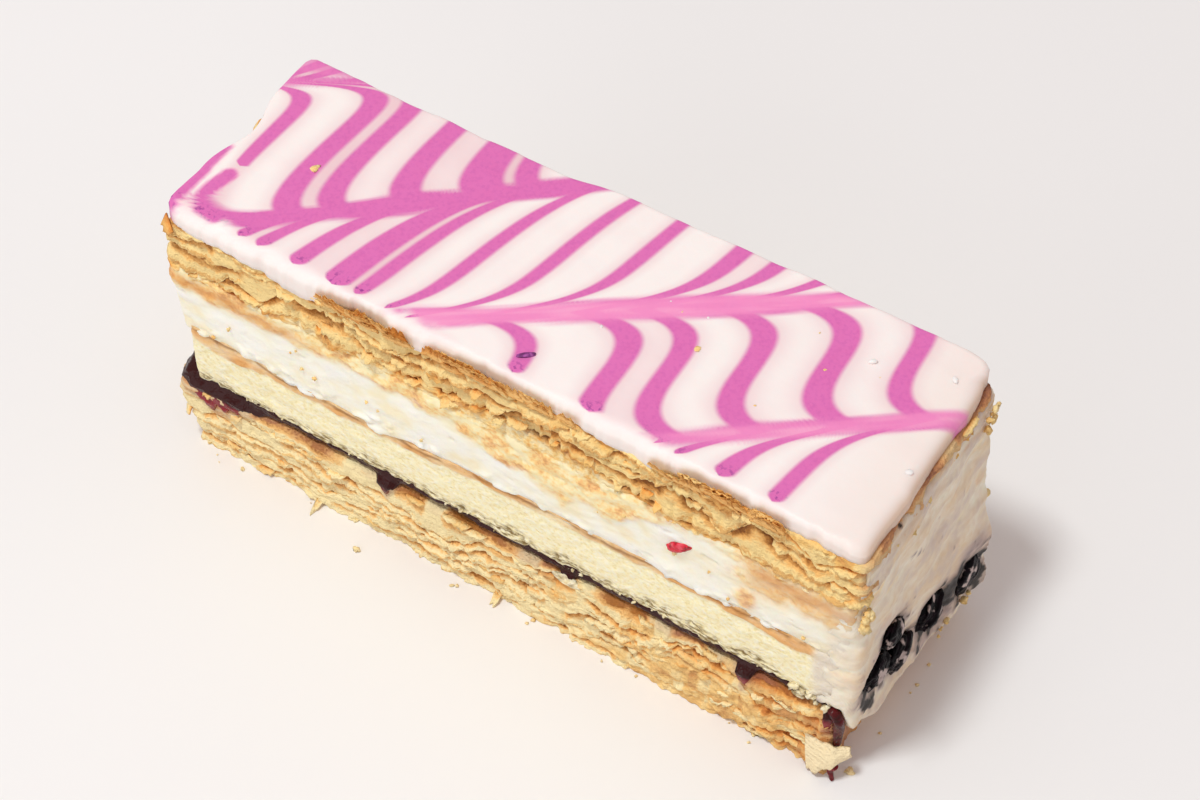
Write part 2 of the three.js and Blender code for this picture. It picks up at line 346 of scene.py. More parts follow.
def skin(name: str, points: Array, traits: Traits) -> Piece:
    """Makes a closed piece from rows of points that run round it.

    Args:
        name: The piece's name.
        points: Rows by columns by 3, in millimetres, from the lowest row up.
        traits: Values for each point, which the finish reads by name.

    Returns:
        The piece, linked to the scene.
    """
    rows, columns = points.shape[:2]
    work = bmesh.new()
    bmesh.ops.create_grid(work, x_segments=columns - 1, y_segments=rows - 1, size=1.0)
    mesh, flat = settled(work, name)
    low, high = flat.min(axis=0), flat.max(axis=0)
    column = np.rint((flat[:, 0] - low[0]) / (high[0] - low[0]) * (columns - 1)).astype(int)
    row = np.rint((flat[:, 1] - low[1]) / (high[1] - low[1]) * (rows - 1)).astype(int)
    mesh.vertices.foreach_set("co", (points[row, column] * MM).astype(np.float32).ravel())
    for trait, values in traits.items():
        set_trait(mesh, trait, np.broadcast_to(values, (rows, columns))[row, column])
    work = bmesh.new()
    work.from_mesh(mesh)
    bmesh.ops.remove_doubles(work, verts=work.verts, dist=WELD)
    for face in work.faces:
        face.smooth = True
    work.to_mesh(mesh)
    work.free()
    return link(name, mesh)


def layer_skin(
    name: str,
    walk: Walk,
    out: Array,
    height: Array,
    traits: Traits,
    flat: Pair | None = None,
) -> Piece:
    """Makes a soft layer from its side, closed below and above.

    Args:
        name: The piece's name.
        walk: Its outline.
        out: How far each point of the side stands out, rows by columns.
        height: How high each point is, in millimetres.
        traits: Values for each point, which the finish reads by name.
        flat: The heights at which it closes, where its edge isn't to lift or lower them.

    Returns:
        The piece, linked to the scene.
    """
    inset = np.array([1.0, 0.1, *[0.0] * len(out), 0.1, 1.0])
    heights = capped(height, 2, 2)
    if flat:
        heights[:2], heights[-2:] = flat
    points = ring_points(walk, capped(out, 2, 2), heights, inset)
    return skin(name, points, {trait: capped(v + 0 * height, 2, 2) for trait, v in traits.items()})


def link(name: str, data: bpy.types.ID) -> Piece:
    """Puts a mesh, a camera or a light into the scene.

    Args:
        name: The object's name.
        data: What it holds.

    Returns:
        The object.
    """
    piece = bpy.data.objects.new(name, data)
    bpy.context.scene.collection.objects.link(piece)
    return piece


def repeated(name: str, template: Mesh, points: Array, traits: Traits) -> Piece:
    """Joins many bent copies of one small mesh into one piece.

    Args:
        name: The piece's name.
        template: The small mesh.
        points: Copies by the template's vertices by 3, in millimetres.
        traits: Values for the copies or their vertices, which the finish reads by name.

    Returns:
        The piece, linked to the scene.
    """
    copies, count = points.shape[:2]
    corners = np.array([face.vertices[:] for face in template.polygons])
    steps = (np.arange(copies) * count)[:, None, None]
    faces = (corners[None] + steps).reshape(-1, corners.shape[1])
    mesh = bpy.data.meshes.new(name)
    mesh.from_pydata((points.reshape(-1, 3) * MM).tolist(), [], faces.tolist())
    for trait, values in traits.items():
        set_trait(mesh, trait, np.broadcast_to(values, (copies, count)))
    mesh.polygons.foreach_set("use_smooth", [True] * len(mesh.polygons))
    return link(name, mesh)


class Slot(Enum):
    """The material slots, each with the node that it belongs to."""

    BASE = ("base_pastry", "base_pastry")
    JAM = ("jam", "jam_layer")
    SPONGE = ("sponge", "sponge_layer")
    CREAM = ("cream", "cream_filling")
    LID = ("lid_pastry", "lid_pastry")
    ICING = ("icing", "feathered_icing")
    BERRY = ("berry", "blueberry_{}")
    RED_FRUIT = ("red_fruit", "red_fruit_piece")


def dress(slot: Slot, finish: "Finish", *pieces: Piece, number: int = 0) -> None:
    """Gives pieces their finish and their place in the part.

    Args:
        slot: The material slot, which tells the node that they stand for.
        finish: What they are made of.
        pieces: The pieces.
        number: The number in the node's name, where it has one.
    """
    slot_name, node = slot.value
    node = node.format(number)
    for piece in pieces:
        piece.data.materials.clear()
        piece.data.materials.append(finish.material())
        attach(piece, "root")
        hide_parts(node)
        log.info("%s: %d faces for %s", piece.name, len(piece.data.polygons), node)


# ---------- finishes ----------
# The inputs and the output of a colour Mix node.
FACTOR, FIRST, SECOND, MIXED = 0, 6, 7, 2


def linear(code: str) -> tuple[float, float, float, float]:
    """Turns an sRGB hex colour into linear light.

    Args:
        code: The colour as #RRGGBB.

    Returns:
        Red, green, blue and an alpha of 1.
    """
    shares = [int(code[place : place + 2], 16) / 255 for place in (1, 3, 5)]
    light = [s / 12.92 if s <= 0.04045 else ((s + 0.055) / 1.055) ** 2.4 for s in shares]
    return (*light, 1.0)


def add(
    tree: Tree,
    kind: str,
    inputs: dict[str | int, object],
    stops: Sequence[tuple[float, str]] = (),
    out: str | int = 0,
    **settings: object,
) -> Socket | None:
    """Adds a node to a material.

    Args:
        tree: The material's node tree.
        kind: The node's type, without the ShaderNode before it.
        inputs: For each input by name or number, a value, a hex colour or what feeds it.
        stops: Places and hex colours of a colour ramp.
        out: Which of its outputs is wanted.
        settings: The node's own properties.

    Returns:
        That output, or nothing for the node at the tree's end.
    """
    made = tree.nodes.new("ShaderNode" + kind)
    for name, value in settings.items():
        setattr(made, name, value)
    for key, value in inputs.items():
        if isinstance(value, Socket):
            tree.links.new(value, made.inputs[key])
        else:
            made.inputs[key].default_value = linear(value) if isinstance(value, str) else value
    for number, (place, code) in enumerate(stops):
        elements = made.color_ramp.elements
        element = elements[number] if number < 2 else elements.new(1.0)
        element.position = place
        element.color = linear(code)
    return made.outputs[out] if made.outputs else None


@dataclass(frozen=True)
class Finish:
    """What a piece is made of. Each kind paints its own colour over these common values."""

    name: str
    roughness: float = 0.6
    ior: float = 1.45
    specular: float = 0.5
    scatter: float = 0.0
    scatter_mm: Triple = (1.0, 1.0, 1.0)
    # The values at the vertices that its paint reads.
    reads: ClassVar[tuple[str, ...]] = ()

    def material(self) -> bpy.types.Material:
        """Makes the finish as a material, or finds it if it is made already.

        Returns:
            The material.
        """
        if self.name in bpy.data.materials:
            return bpy.data.materials[self.name]
        made = bpy.data.materials.new(self.name)
        made.use_nodes = True
        tree = made.node_tree
        tree.nodes.clear()
        read = {}
        for name in self.reads:
            read[name] = add(tree, "Attribute", {}, out="Fac", attribute_name=name)
        values = {
            "Roughness": self.roughness,
            "IOR": self.ior,
            "Specular IOR Level": self.specular,
            "Subsurface Weight": self.scatter,
            "Subsurface Radius": self.scatter_mm,
            "Subsurface Scale": MM,
        }
        surface = add(tree, "BsdfPrincipled", values | self.paint(tree, read))
        add(tree, "OutputMaterial", {"Surface": surface})
        return made

    def paint(self, tree: Tree, read: Sockets) -> Sockets:
        """Paints the pattern of this kind of finish.

        Args:
            tree: The material's nodes.
            read: The values at the vertices.

        Returns:
            The shader's colour and normal.
        """
        raise NotImplementedError

    def noise(self, tree: Tree, size: Triple, detail: float = 3.0) -> Socket:
        """Noise in the piece's own space.

        Args:
            tree: The material's nodes.
            size: A blob's size along X, Y and Z, in millimetres.
            detail: How many finer layers lie on it.

        Returns:
            Values round 0.5.
        """
        place = add(tree, "TexCoord", {}, out="Object")
        scale = tuple(1 / (length * MM) for length in size)
        mapped = add(tree, "Mapping", {"Vector": place, "Scale": scale})
        return add(tree, "TexNoise", {"Vector": mapped, "Scale": 1.0, "Detail": detail})

    def cover(
        self, tree: Tree, colours: Sequence[object], height: Socket | None = None, depth: float = 0.4
    ) -> Sockets:
        """Lays colours over one another and roughens the surface.

        Args:
            tree: The material's nodes.
            colours: The lowest colour, then pairs of a share and the colour laid over with it.
            height: A pattern that lifts the surface.
            depth: How far it lifts it, in millimetres.

        Returns:
            What feeds the shader's colour and normal.
        """
        colour = colours[0]
        for share, over in colours[1:]:
            parts = {FACTOR: share, FIRST: colour, SECOND: over}
            colour = add(tree, "Mix", parts, out=MIXED, data_type="RGBA")
        fed = {"Base Color": colour}
        if height is not None:
            fed["Normal"] = add(tree, "Bump", {"Height": height, "Distance": depth * MM})
        return fed

    def buttery(self, tree: Tree) -> Socket:
        """Pastry soaked with butter: golden blotches with a fine crumb, on the lid and the cream.

        Args:
            tree: The material's nodes.

        Returns:
            Its colour.
        """
        blotch = self.noise(tree, (4.0, 4.0, 3.0))
        crumb = self.noise(tree, (0.9, 0.9, 0.7))
        level = add(tree, "Math", {0: crumb, 1: 0.6, 2: blotch}, operation="MULTIPLY_ADD")
        stops = ((0.56, "#D6954D"), (0.68, "#F8BF70"), (0.79, "#FFDA90"), (0.94, "#FFEDBC"))
        return add(tree, "ValToRGB", {0: level}, stops)


@dataclass(frozen=True)
class PastryFinish(Finish):
    """Baked puff pastry. The eye sees pale buttery leaves with browner rims over dark gaps."""

    gap: str = "#8C5220"
    shade: str = "#CB8B43"
    face: str = "#FFC574"
    light: str = "#FFE09A"
    rim: str = "#EDBB72"
    stain: str = "#B98577"
    streaked: float = 0.3
    crumbly: float = 0.55
    reads = ("relief", "soaked", "tone", "stain")

    def paint(self, tree: Tree, read: Sockets) -> Sockets:
        """Paints by depth, partly as painted shade, then adds the leaves' streaks and a fine crumb.

        Args:
            tree: The material's nodes.
            read: The values at the vertices.

        Returns:
            The shader's colour and normal.
        """
        streak = self.noise(tree, (6.0, 6.0, 0.6), 4.0)
        crumb = self.noise(tree, (0.6, 0.6, 0.45), 4.0)
        patch = self.noise(tree, (6.0, 6.0, 3.5))
        level = read["relief"]
        for texture, strength in ((streak, self.streaked), (crumb, self.crumbly)):
            parts = {0: texture, 1: strength, 2: level}
            level = add(tree, "Math", parts, operation="MULTIPLY_ADD")
        parts = {0: level, 1: (self.streaked + self.crumbly) / 2}
        level = add(tree, "Math", parts, operation="SUBTRACT")
        # Painted shade with some real browning: dark in the gaps under the lips, pale on the lips.
        stops = ((0.02, self.gap), (0.2, self.shade), (0.42, self.face), (0.66, self.light))
        stops += ((0.92, self.light), (1.0, self.rim))
        by_depth = add(tree, "ValToRGB", {0: level}, stops)
        soaked = self.cover(tree, (by_depth, (read["soaked"], self.buttery(tree))))["Base Color"]
        tone = add(tree, "Math", {0: patch, 1: read["tone"]}, operation="ADD")
        stops = ((0.3, "#CC8D52"), (0.55, "#F8D9AB"), (0.75, "#FFFFFF"))
        parts = {FACTOR: 0.8, FIRST: soaked, SECOND: add(tree, "ValToRGB", {0: tone}, stops)}
        toned = add(tree, "Mix", parts, out=MIXED, data_type="RGBA", blend_type="MULTIPLY")
        height = add(tree, "Math", {0: crumb, 1: 1.2, 2: streak}, operation="MULTIPLY_ADD")
        return self.cover(tree, (toned, (read["stain"], self.stain)), height, 0.45)


@dataclass(frozen=True)
class SpongeFinish(Finish):
    """Sponge cake. The eye sees a dry, even, pale yellow crumb under a thin browned skin."""

    crumb: str = "#FFF3C6"
    hollow: str = "#F1E0A6"
    skin: str = "#EBB272"
    skin_dark: str = "#D29352"
    crust: str = "#8E5A2C"
    cream: str = "#E6DACB"
    speck: str = "#8C7548"
    reads = ("skin", "crust", "smear", "low")

    def paint(self, tree: Tree, read: Sockets) -> Sockets:
        """Paints the crumb, then the skin, the cream at the corner and the dark specks.

        Args:
            tree: The material's nodes.
            read: The values at the vertices.

        Returns:
            The shader's colour and normal.
        """
        pores = self.noise(tree, (0.8, 0.8, 0.6), 5.0)
        patch = self.noise(tree, (3.0, 3.0, 1.2), 4.0)
        specks = self.noise(tree, (1.6, 1.6, 0.6), 5.0)
        stops = ((0.28, self.hollow), (0.46, self.crumb), (0.7, "#FFFAE0"))
        crumb = add(tree, "ValToRGB", {0: pores}, stops)
        skin = add(tree, "ValToRGB", {0: patch}, ((0.3, self.skin_dark), (0.55, self.skin)))
        seen = add(tree, "MapRange", {"Value": specks, "From Min": 0.42, "From Max": 0.62})
        seen = add(tree, "Math", {0: seen, 1: read["low"]}, operation="MULTIPLY")
        laid = ((read["skin"], skin), (read["crust"], self.crust), (read["smear"], self.cream))
        return self.cover(tree, (crumb, *laid, (seen, self.speck)), pores, 0.35)


@dataclass(frozen=True)
class CreamFinish(Finish):
    """Whipped cream. The eye sees a soft warm white that light sinks into, dragged by a knife."""

    cream: str = "#FFFAE6"
    white: str = "#FFFEF5"
    warm: str = "#FDF0CE"
    # The colours of the painted shade, lighter and darker.
    shade_grey: str = "#EAD2B0"
    ashen: str = "#DCC9BA"
    crust: str = "#DA964C"
    juice: str = "#8E6A75"
    wet: str = "#12060B"
    reads = ("toast", "darkened", "shade_grey", "juice")

    def paint(self, tree: Tree, read: Sockets) -> Sockets:
        """Paints the cream, the buttery pastry stuck to it, the grey of painted shade and the juice.

        Args:
            tree: The material's nodes.
            read: The values at the vertices.

        Returns:
            The shader's colour and normal.
        """
        drag = self.noise(tree, (7.0, 6.0, 4.5), 2.0)
        fine = self.noise(tree, (1.3, 1.1, 1.0), 4.0)
        stops = ((0.36, self.warm), (0.5, self.cream), (0.8, self.white))
        body = add(tree, "ValToRGB", {0: drag}, stops)
        # Painted shade, mottled by the knife's drag.
        shaded_cream = add(tree, "ValToRGB", {0: drag}, ((0.38, self.ashen), (0.56, self.shade_grey)))
        juice = add(tree, "ValToRGB", {0: read["juice"]}, ((0.4, self.juice), (0.9, self.wet)))
        laid = ((read["toast"], self.buttery(tree)), (read["darkened"], self.crust))
        laid += ((read["shade_grey"], shaded_cream), (read["juice"], juice))
        height = add(tree, "Math", {0: fine, 1: 0.7, 2: drag}, operation="MULTIPLY_ADD")
        return self.cover(tree, (body, *laid), height, 0.25)


@dataclass(frozen=True)
class JamFinish(Finish):
    """Dark berry jam. The eye sees a nearly black, wet bead that is wine red where it is thin."""

    thick: str = "#36110F"
    thin: str = "#8C1C27"
    reads = ("thin",)

    def paint(self, tree: Tree, read: Sockets) -> Sockets:
        """Paints the jam redder where it has run thin.

        Args:
            tree: The material's nodes.
            read: The values at the vertices.

        Returns:
            The shader's colour and normal.
        """
        patch = self.noise(tree, (1.8, 1.8, 1.2))
        share = add(tree, "Math", {0: patch, 1: read["thin"]}, operation="MULTIPLY")
        colour = add(tree, "ValToRGB", {0: share}, ((0.15, self.thick), (0.6, self.thin)))
        return self.cover(tree, (colour,), patch)


@dataclass(frozen=True)
class BerryFinish(Finish):
    """Blueberry skin in cream. The eye sees blue-black wrinkles, wet, with cream torn over."""

    skin: str = "#030204"
    flush: str = "#1A0A14"
    cream: str = "#CDBBB5"

    def paint(self, tree: Tree, read: Sockets) -> Sockets:
        """Paints the skin and the scraps of cream on it.

        Args:
            tree: The material's nodes.
            read: Not used; this finish reads no values at the vertices.

        Returns:
            The shader's colour and normal.
        """
        wrinkle = self.noise(tree, (1.2, 1.2, 0.8), 4.0)
        scraps = self.noise(tree, (3.4, 2.6, 3.0), 4.0)
        skin = add(tree, "ValToRGB", {0: wrinkle}, ((0.42, self.skin), (0.7, self.flush)))
        share = add(tree, "MapRange", {"Value": scraps, "From Min": 0.56, "From Max": 0.62})
        return self.cover(tree, (skin, (share, self.cream)), wrinkle, 0.5)


@dataclass(frozen=True)
class BlotchedFinish(Finish):
    """Red fruit or dried icing, or the satin table top. The eye sees soft blotches of colour."""

    blotch_mm: float = 1.0
    detail: float = 3.0
    stops: tuple[tuple[float, str], ...] = ((0.35, "#8A0A1C"), (0.52, "#D2122F"), (0.68, "#E0505F"))

    def paint(self, tree: Tree, read: Sockets) -> Sockets:
        """Paints the blotches.

        Args:
            tree: The material's nodes.
            read: Not used; this finish reads no values at the vertices.

        Returns:
            The shader's colour.
        """
        size = (self.blotch_mm, self.blotch_mm, 0.8 * self.blotch_mm)
        patch = self.noise(tree, size, self.detail)
        return self.cover(tree, (add(tree, "ValToRGB", {0: patch}, self.stops),))


@dataclass(frozen=True)
class IcingFinish(Finish):
    """Poured sugar icing. The eye sees satin white, with pink feathering that bleeds a little."""

    white: str = "#F8EEE9"
    blush: str = "#E9BFC6"
    # The shoulders' colour: pastry showing through the thin edge, and painted shade.
    sheer_and_shade: str = "#E2C6B0"
    line: str = "#E072B5"
    deep: str = "#D86AB0"
    grain: str = "#9C3A8E"
    rib: str = "#F796C6"
    # The lines that were piped: where each would cross the slice undisturbed, and its width.
    lines: tuple[Pair, ...] = ()
    bleed: float = 0.45
    reads = ("combed", "pinch", "inked", "dotted", "deep", "blush", "sheer_and_shade", "rib")

    def paint(self, tree: Tree, read: Sockets) -> Sockets:
        """Paints the piped lines where the comb has dragged them, then the comb's own ribs.

        Args:
            tree: The material's nodes.
            read: The values at the vertices.

        Returns:
            The shader's colour and normal.
        """
        pink: object = 0.0
        for place, width in self.lines:
            away: object = read["combed"]
            for kind, by in (("SUBTRACT", place), ("ABSOLUTE", 0.0), ("ADD", read["pinch"])):
                away = add(tree, "Math", {0: away, 1: by}, operation=kind)
            ends = {"From Min": width / 2 + self.bleed, "From Max": width / 2 - self.bleed}
            drawn = add(tree, "MapRange", {"Value": away} | ends, interpolation_type="SMOOTHSTEP")
            pink = add(tree, "Math", {0: pink, 1: drawn}, operation="MAXIMUM")
        pink = add(tree, "Math", {0: pink, 1: read["inked"]}, operation="MULTIPLY")
        dots = self.noise(tree, (0.7, 0.7, 0.7), 4.0)
        grains = add(tree, "MapRange", {"Value": dots, "From Min": 0.5, "From Max": 0.66})
        grains = add(tree, "Math", {0: grains, 1: read["dotted"]}, operation="MULTIPLY")
        soft = add(tree, "ValToRGB", {0: dots}, ((0.3, self.deep), (0.55, self.line)))
        line = self.cover(tree, (soft, (grains, self.grain)))["Base Color"]
        rib = self.cover(tree, (self.rib, (read["deep"], line)))["Base Color"]
        laid = ((read["blush"], self.blush), (read["sheer_and_shade"], self.sheer_and_shade), (pink, line))
        height = self.noise(tree, (5.0, 5.0, 5.0), 2.0)
        return self.cover(tree, (self.white, *laid, (read["rib"], rib)), height, 0.12)


# ---------- the slice ----------
@dataclass(frozen=True)
class Levels:
    """Where the layers start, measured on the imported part."""

    base_top: float
    sponge: float
    cream: float
    lid: float
    icing: float
    top: float

    @classmethod
    def from_frame(cls) -> "Levels":
        """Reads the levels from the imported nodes' boxes.

        Returns:
            The levels.
        """
        nodes = ("base_pastry", "sponge_layer", "lid_pastry", "feathered_icing")
        base, sponge, lid, icing = ([corner.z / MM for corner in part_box(node)] for node in nodes)
        return cls(base[1], sponge[0], sponge[1], lid[0], lid[1], icing[1])


# Where jam hangs over the pastry along the front: place along X, half width and drop.
JAM_RUNS = ((-60.0, 13, 5.2), (-24, 3.4, 3.6), (12.5, 2.6, 2.6), (46.5, 2.4, 5), (62.5, 2, 6.6))
# The blueberries in the end's cream: place across the slice, height and radius.
BERRIES = ((16.4, 15.2, 3.9), (4.6, 16.4, 3.8), (-5.6, 17.2, 3.3), (-12.8, 19.8, 3.3), (-8.6, 26, 2.4))


def jam_sag(walk: Walk) -> Array:
    """How far the jam hangs below the pastry's top at each place of a walk."""
    drops = [drop * bump(walk.x, x, half * 0.5) for x, half, drop in JAM_RUNS]
    return np.max(drops, axis=0) * (walk.front + walk.start * bump(walk.y, -21, 6))


def back_edge(x: Array) -> Array:
    """How far the far edge stands out: chipped back along one third, widest at the end."""
    past = smooth(x, -16, -4)
    return -0.9 + 1.6 * past + 1.05 * smooth(x, -4, 50)


@dataclass(frozen=True)
class Strewn:
    """Some small lumps: the box they lie in and how large they are, in millimetres."""

    low: Triple
    high: Triple
    count: int
    size: Pair
    flat: float = 0.7


@dataclass
class Lumps:
    """Small crumbs that lie about, as one piece."""

    name: str
    slot: Slot
    finish: Finish
    strewn: tuple[Strewn, ...]
    seed: int
    traits: dict[str, float]
    ragged: float = 0.22
    fineness: int = 2

    def build(self) -> None:
        """Builds and dresses them from one ball, each stretched, turned and dented."""
        draw = np.random.default_rng(self.seed)
        work = bmesh.new()
        bmesh.ops.create_icosphere(work, subdivisions=self.fineness, radius=1.0)
        template, unit = settled(work, "lump_template")
        total = sum(some.count for some in self.strewn)
        spots = [draw.uniform(some.low, some.high, (some.count, 3)) for some in self.strewn]
        sizes = [draw.uniform(*some.size, some.count) for some in self.strewn]
        flats = np.concatenate([np.full(some.count, some.flat) for some in self.strewn])
        stretch = draw.uniform(0.6, 1.3, (total, 3)) * np.concatenate(sizes)[:, None] / 2
        dents = 1 + self.ragged * draw.normal(0, 1, (total, len(unit), 1))
        shaped = unit[None] * dents * stretch[:, None]
        angle = draw.uniform(0, 2 * math.pi, total)
        cosine, sine = np.cos(angle)[:, None], np.sin(angle)[:, None]
        x, y, z = shaped[..., 0], shaped[..., 1], shaped[..., 2] * flats[:, None]
        turned = np.stack([x * cosine - y * sine, x * sine + y * cosine, z], axis=-1)
        points = turned + np.concatenate(spots)[:, None]
        points[..., 2] = np.clip(points[..., 2], 0.03, None)
        dress(self.slot, self.finish, repeated(self.name, template, points, self.traits))
        bpy.data.meshes.remove(template)


def ball(name: str, seed: int, stretch: Matrix, wrinkle: float) -> Piece:
    """Builds a wrinkled ball.

    Args:
        name: The piece's name.
        seed: Which wrinkles.
        stretch: Brings a ball of radius 1 mm to its size and place.
        wrinkle: The depth of the wrinkles, as a share of the radius.

    Returns:
        The piece, linked to the scene.
    """
    work = bmesh.new()
    bmesh.ops.create_icosphere(work, subdivisions=5, radius=1.0)
    for face in work.faces:
        face.smooth = True
    mesh, points = settled(work, name)
    x, y, z = points.T
    folds = rough(x * 2 + y, z * 2 - y, (0.8, 0.6), seed, octaves=3)
    dents = grain(x + 5, y + z, (1.1, 1.1), seed + 1)
    points = points * (1 + wrinkle * 0.6 * (folds + dents))[:, None]
    turned = points @ np.array(stretch.to_3x3()).T + np.array(stretch.translation)
    mesh.vertices.foreach_set("co", (turned * MM).astype(np.float32).ravel())
    return link(name, mesh)


def thread(name: str, path: Sequence[tuple[float, float, float, float]], thin: float) -> Piece:
    """Makes a run of something thick along a path.

    Args:
        name: The piece's name.
        path: Points along it as x, y, z and radius, in millimetres, from the bottom up.
        thin: The value of its thinness trait.

    Returns:
        The piece, linked to the scene.
    """
    knots = np.array(path)
    share = np.linspace(0, len(knots) - 1, 36)
    spine = np.stack([np.interp(share, np.arange(len(knots)), k) for k in knots.T], axis=-1)
    turn = np.linspace(0, 2 * math.pi, 21)
    uneven = 1 + 0.4 * rough(turn * 2, share[:, None], (2.1, 1.5), 77, 4 * math.pi, 2)
    cap = np.sqrt(np.clip(1 - (2 * share / share[-1] - 1) ** 10, 0, 1))
    radius = (spine[:, 3] * cap)[:, None] * uneven
    x = spine[:, :1] + radius * np.cos(turn)
    y = spine[:, 1:2] + radius * np.sin(turn)
    z = spine[:, 2:3] + 0 * x
    return skin(name, np.stack([x, y, z], axis=-1), {"thin": np.full(x.shape, thin)})


@dataclass(frozen=True)
class FlakeSizes:
    """Loose leaves of pastry: how many, how long, how far out and how steeply they hang."""

    count: int
    length: Pair
    reach: Pair
    droop: Pair
    thickness: float = 0.26
    toasted: float = 0.12
    segments: tuple[int, int] = (7, 2)
    proud: float = -0.6
    tone: Pair = (0.0, 0.5)
    # The painted shade at a leaf's root, as a level of the pastry's depth ramp.
    shade: float = 0.35


@dataclass
class PastrySheet:
    """A baked sheet of puff pastry, cut at its sides so that its leaves show.

    leaf is a leaf's mean thickness and plate the length at which it breaks, groove how deep the
    gaps between leaves are and opening how many of them gape. ragged, sag, wave, lens and uneven
    are how strongly the rims vary, hang, bend, swell and crumble, and tone is how pale they are.
    """

    low: float
    high: float
    name: str
    finish: PastryFinish
    flakes: FlakeSizes
    seed: int
    outline: Outline
    leaf: float = 2.5
    plate: float = 7.0
    groove: float = 1.7
    ragged: float = 0.8
    sag: float = 0.4
    wave: float = 0.5
    lens: float = 1.1
    uneven: float = 1.3
    tone: float = 0.25
    opening: float = 0.8

    def swell(self, walk: Walk, height: Array) -> Array:
        """The sheet's large form: how far its side stands out before any leaves."""
        raise NotImplementedError

    def calm(self, walk: Walk, height: Array) -> Array:
        """How smooth the side is at each place, from 0, all leaves, to 1."""
        raise NotImplementedError

    def first_leaf(self, walk: Walk) -> Array:
        """How thick the lowest leaf is at each place."""
        return self.leaf * (1 + 0.3 * walk.grain(0, (19, 1), self.seed))

    def edges(self, walk: Walk) -> Array:
        """Works out where the leaves part.

        Each leaf swells and thins along the side, and together they fill the sheet.

        Args:
            walk: The places round the sheet.

        Returns:
            Heights over the underside, lowest first, rows by places.
        """
        arc, seed = walk.arc, self.seed
        thickness = self.high - self.low
        number = np.arange(round(thickness / self.leaf))[:, None] + 0 * arc
        weight = walk.grain(number, (15, 1), seed + 1)
        weight = weight + 0.8 * walk.grain(number, (5.5, 1), seed + 2)
        weight = np.exp(self.lens * weight)
        first = self.first_leaf(walk)
        rest = np.cumsum(weight[1:], axis=0)
        rest = first + rest / rest[-1] * (thickness - first)
        found = np.vstack([0 * arc, first, rest])
        bend = self.wave * walk.grain(0, (21, 1), seed + 3)
        return found + bend * np.sin(math.pi * found / thickness)

    def leaves(self, walk: Walk) -> tuple[Array, Array, Traits]:
        """Works out the side, leaf by leaf, each with an underside, a lip and a sloping top.

        Args:
            walk: The places round the sheet.

        Returns:
            How far each point stands out, its height over the underside, and its traits.
        """
        arc, around, seed = walk.arc, walk.around, self.seed
        edges = self.edges(walk)
        low, thick = edges[:-1], np.diff(edges, axis=0)
        number = np.arange(len(low))[:, None] + 0 * arc
        reach, sag, tone = 0.45 * walk.grain(number, (self.plate, 1), seed + 4), 0.0, 0.0
        for share, length in ((0.6, self.plate), (0.4, self.plate * 0.4)):
            within, plate = plates(arc, number, length, seed + round(10 * share), around)
            chance = [scramble(seed + step, plate, number) for step in range(20, 24)]
            lobe = 0.6 * np.sqrt(np.clip(1 - within**2, 0, 1)) - 0.42 + 0.5 * (chance[0] - 0.5)
            reach = reach + share * (lobe - 0.8 * (chance[2] < 0.12))
            sag, tone = sag + share * chance[3], tone + share * chance[1]
        reach = reach + 0.14 * walk.grain(number, (1.4, 1), seed + 5)
        reach = reach + 0.24 * walk.rough(number, (0.75, 1), seed + 6, 2)
        quiet = 1 - 0.88 * self.calm(walk, low + thick / 2)
        opening = self.opening + 0.9 * walk.grain(number, (5, 1), seed + 7)
        opening = np.clip(opening, 0, 1.6)
        shut = 1 - np.clip(opening / 0.4, 0, 1)
        depth = self.groove * opening * quiet
        reach = self.ragged * 2 * reach * quiet * (1 - 0.6 * shut)
        span = np.clip(reach + depth, 0.1, None)
        hang = np.clip((0.1 + self.sag * sag) * span, 0, 0.6 * thick) * quiet
        # The stations of a leaf, underneath it, round its lip and back over its sloping top.
        stations = {
            "far": (0.0, 0.5, 0.9, 1.0, 1.0, 0.94, 0.84, 0.7, 0.52, 0.32, 0.12),
            "up": (0.0, 0.02, 0.04, 0.08, 0.15, 0.26, 0.38, 0.5, 0.62, 0.75, 0.9),
            "hanging": (0.0, 0.6, 1.0, 1.0, 1.0, 0.9, 0.75, 0.55, 0.35, 0.2, 0.05),
            # The relief row is partly painted shade: dark under each lip and up to the next, pale on the
            # lip.
            "relief": (0.0, 0.05, 0.4, 0.85, 0.95, 0.88, 0.7, 0.48, 0.26, 0.08, 0.0),
        }
        far, up, hanging, bright = (np.array(row)[:, None] for row in stations.values())
        out = (span[:, None] * far - depth[:, None]).reshape(-1, len(arc))
        height = low[:, None] + thick[:, None] * up - hang[:, None] * hanging
        height = height.reshape(-1, len(arc))
        # Shut gaps lose their painted shade; calm places and far-reaching lips are painted paler.
        relief = bright + (0.7 - bright) * shut[:, None]
        relief = relief + 0.12 * reach[:, None] + 0.3 * (1 - quiet[:, None])
        relief = relief.reshape(-1, len(arc))
        uneven = walk.rough(height, (1.7, 1.1), seed + 8)
        teeth = walk.grain(height, (0.7, 0.9), seed + 9)
        lumps = walk.rough(height, (5, 2.8), seed + 10, 2)
        crumbled = self.uneven * (1 + 0.5 * smooth(walk.x, 10, 40))
        out = out + crumbled * (0.18 * uneven + 0.07 * teeth + 0.14 * lumps)
        rank = np.arange(len(out))[:, None]
        height = height + 0.12 * walk.rough(rank, (0.8, 1.5), seed + 11, 2)
        spread = np.repeat(tone, len(far), axis=0)
        return out, height, {"relief": relief, "tone": 0.45 * (spread - 0.5) + self.tone}

    def traits(self, walk: Walk, height: Array) -> Traits:
        """How soaked with butter, stained with jam and darker than the rest each place is."""
        raise NotImplementedError

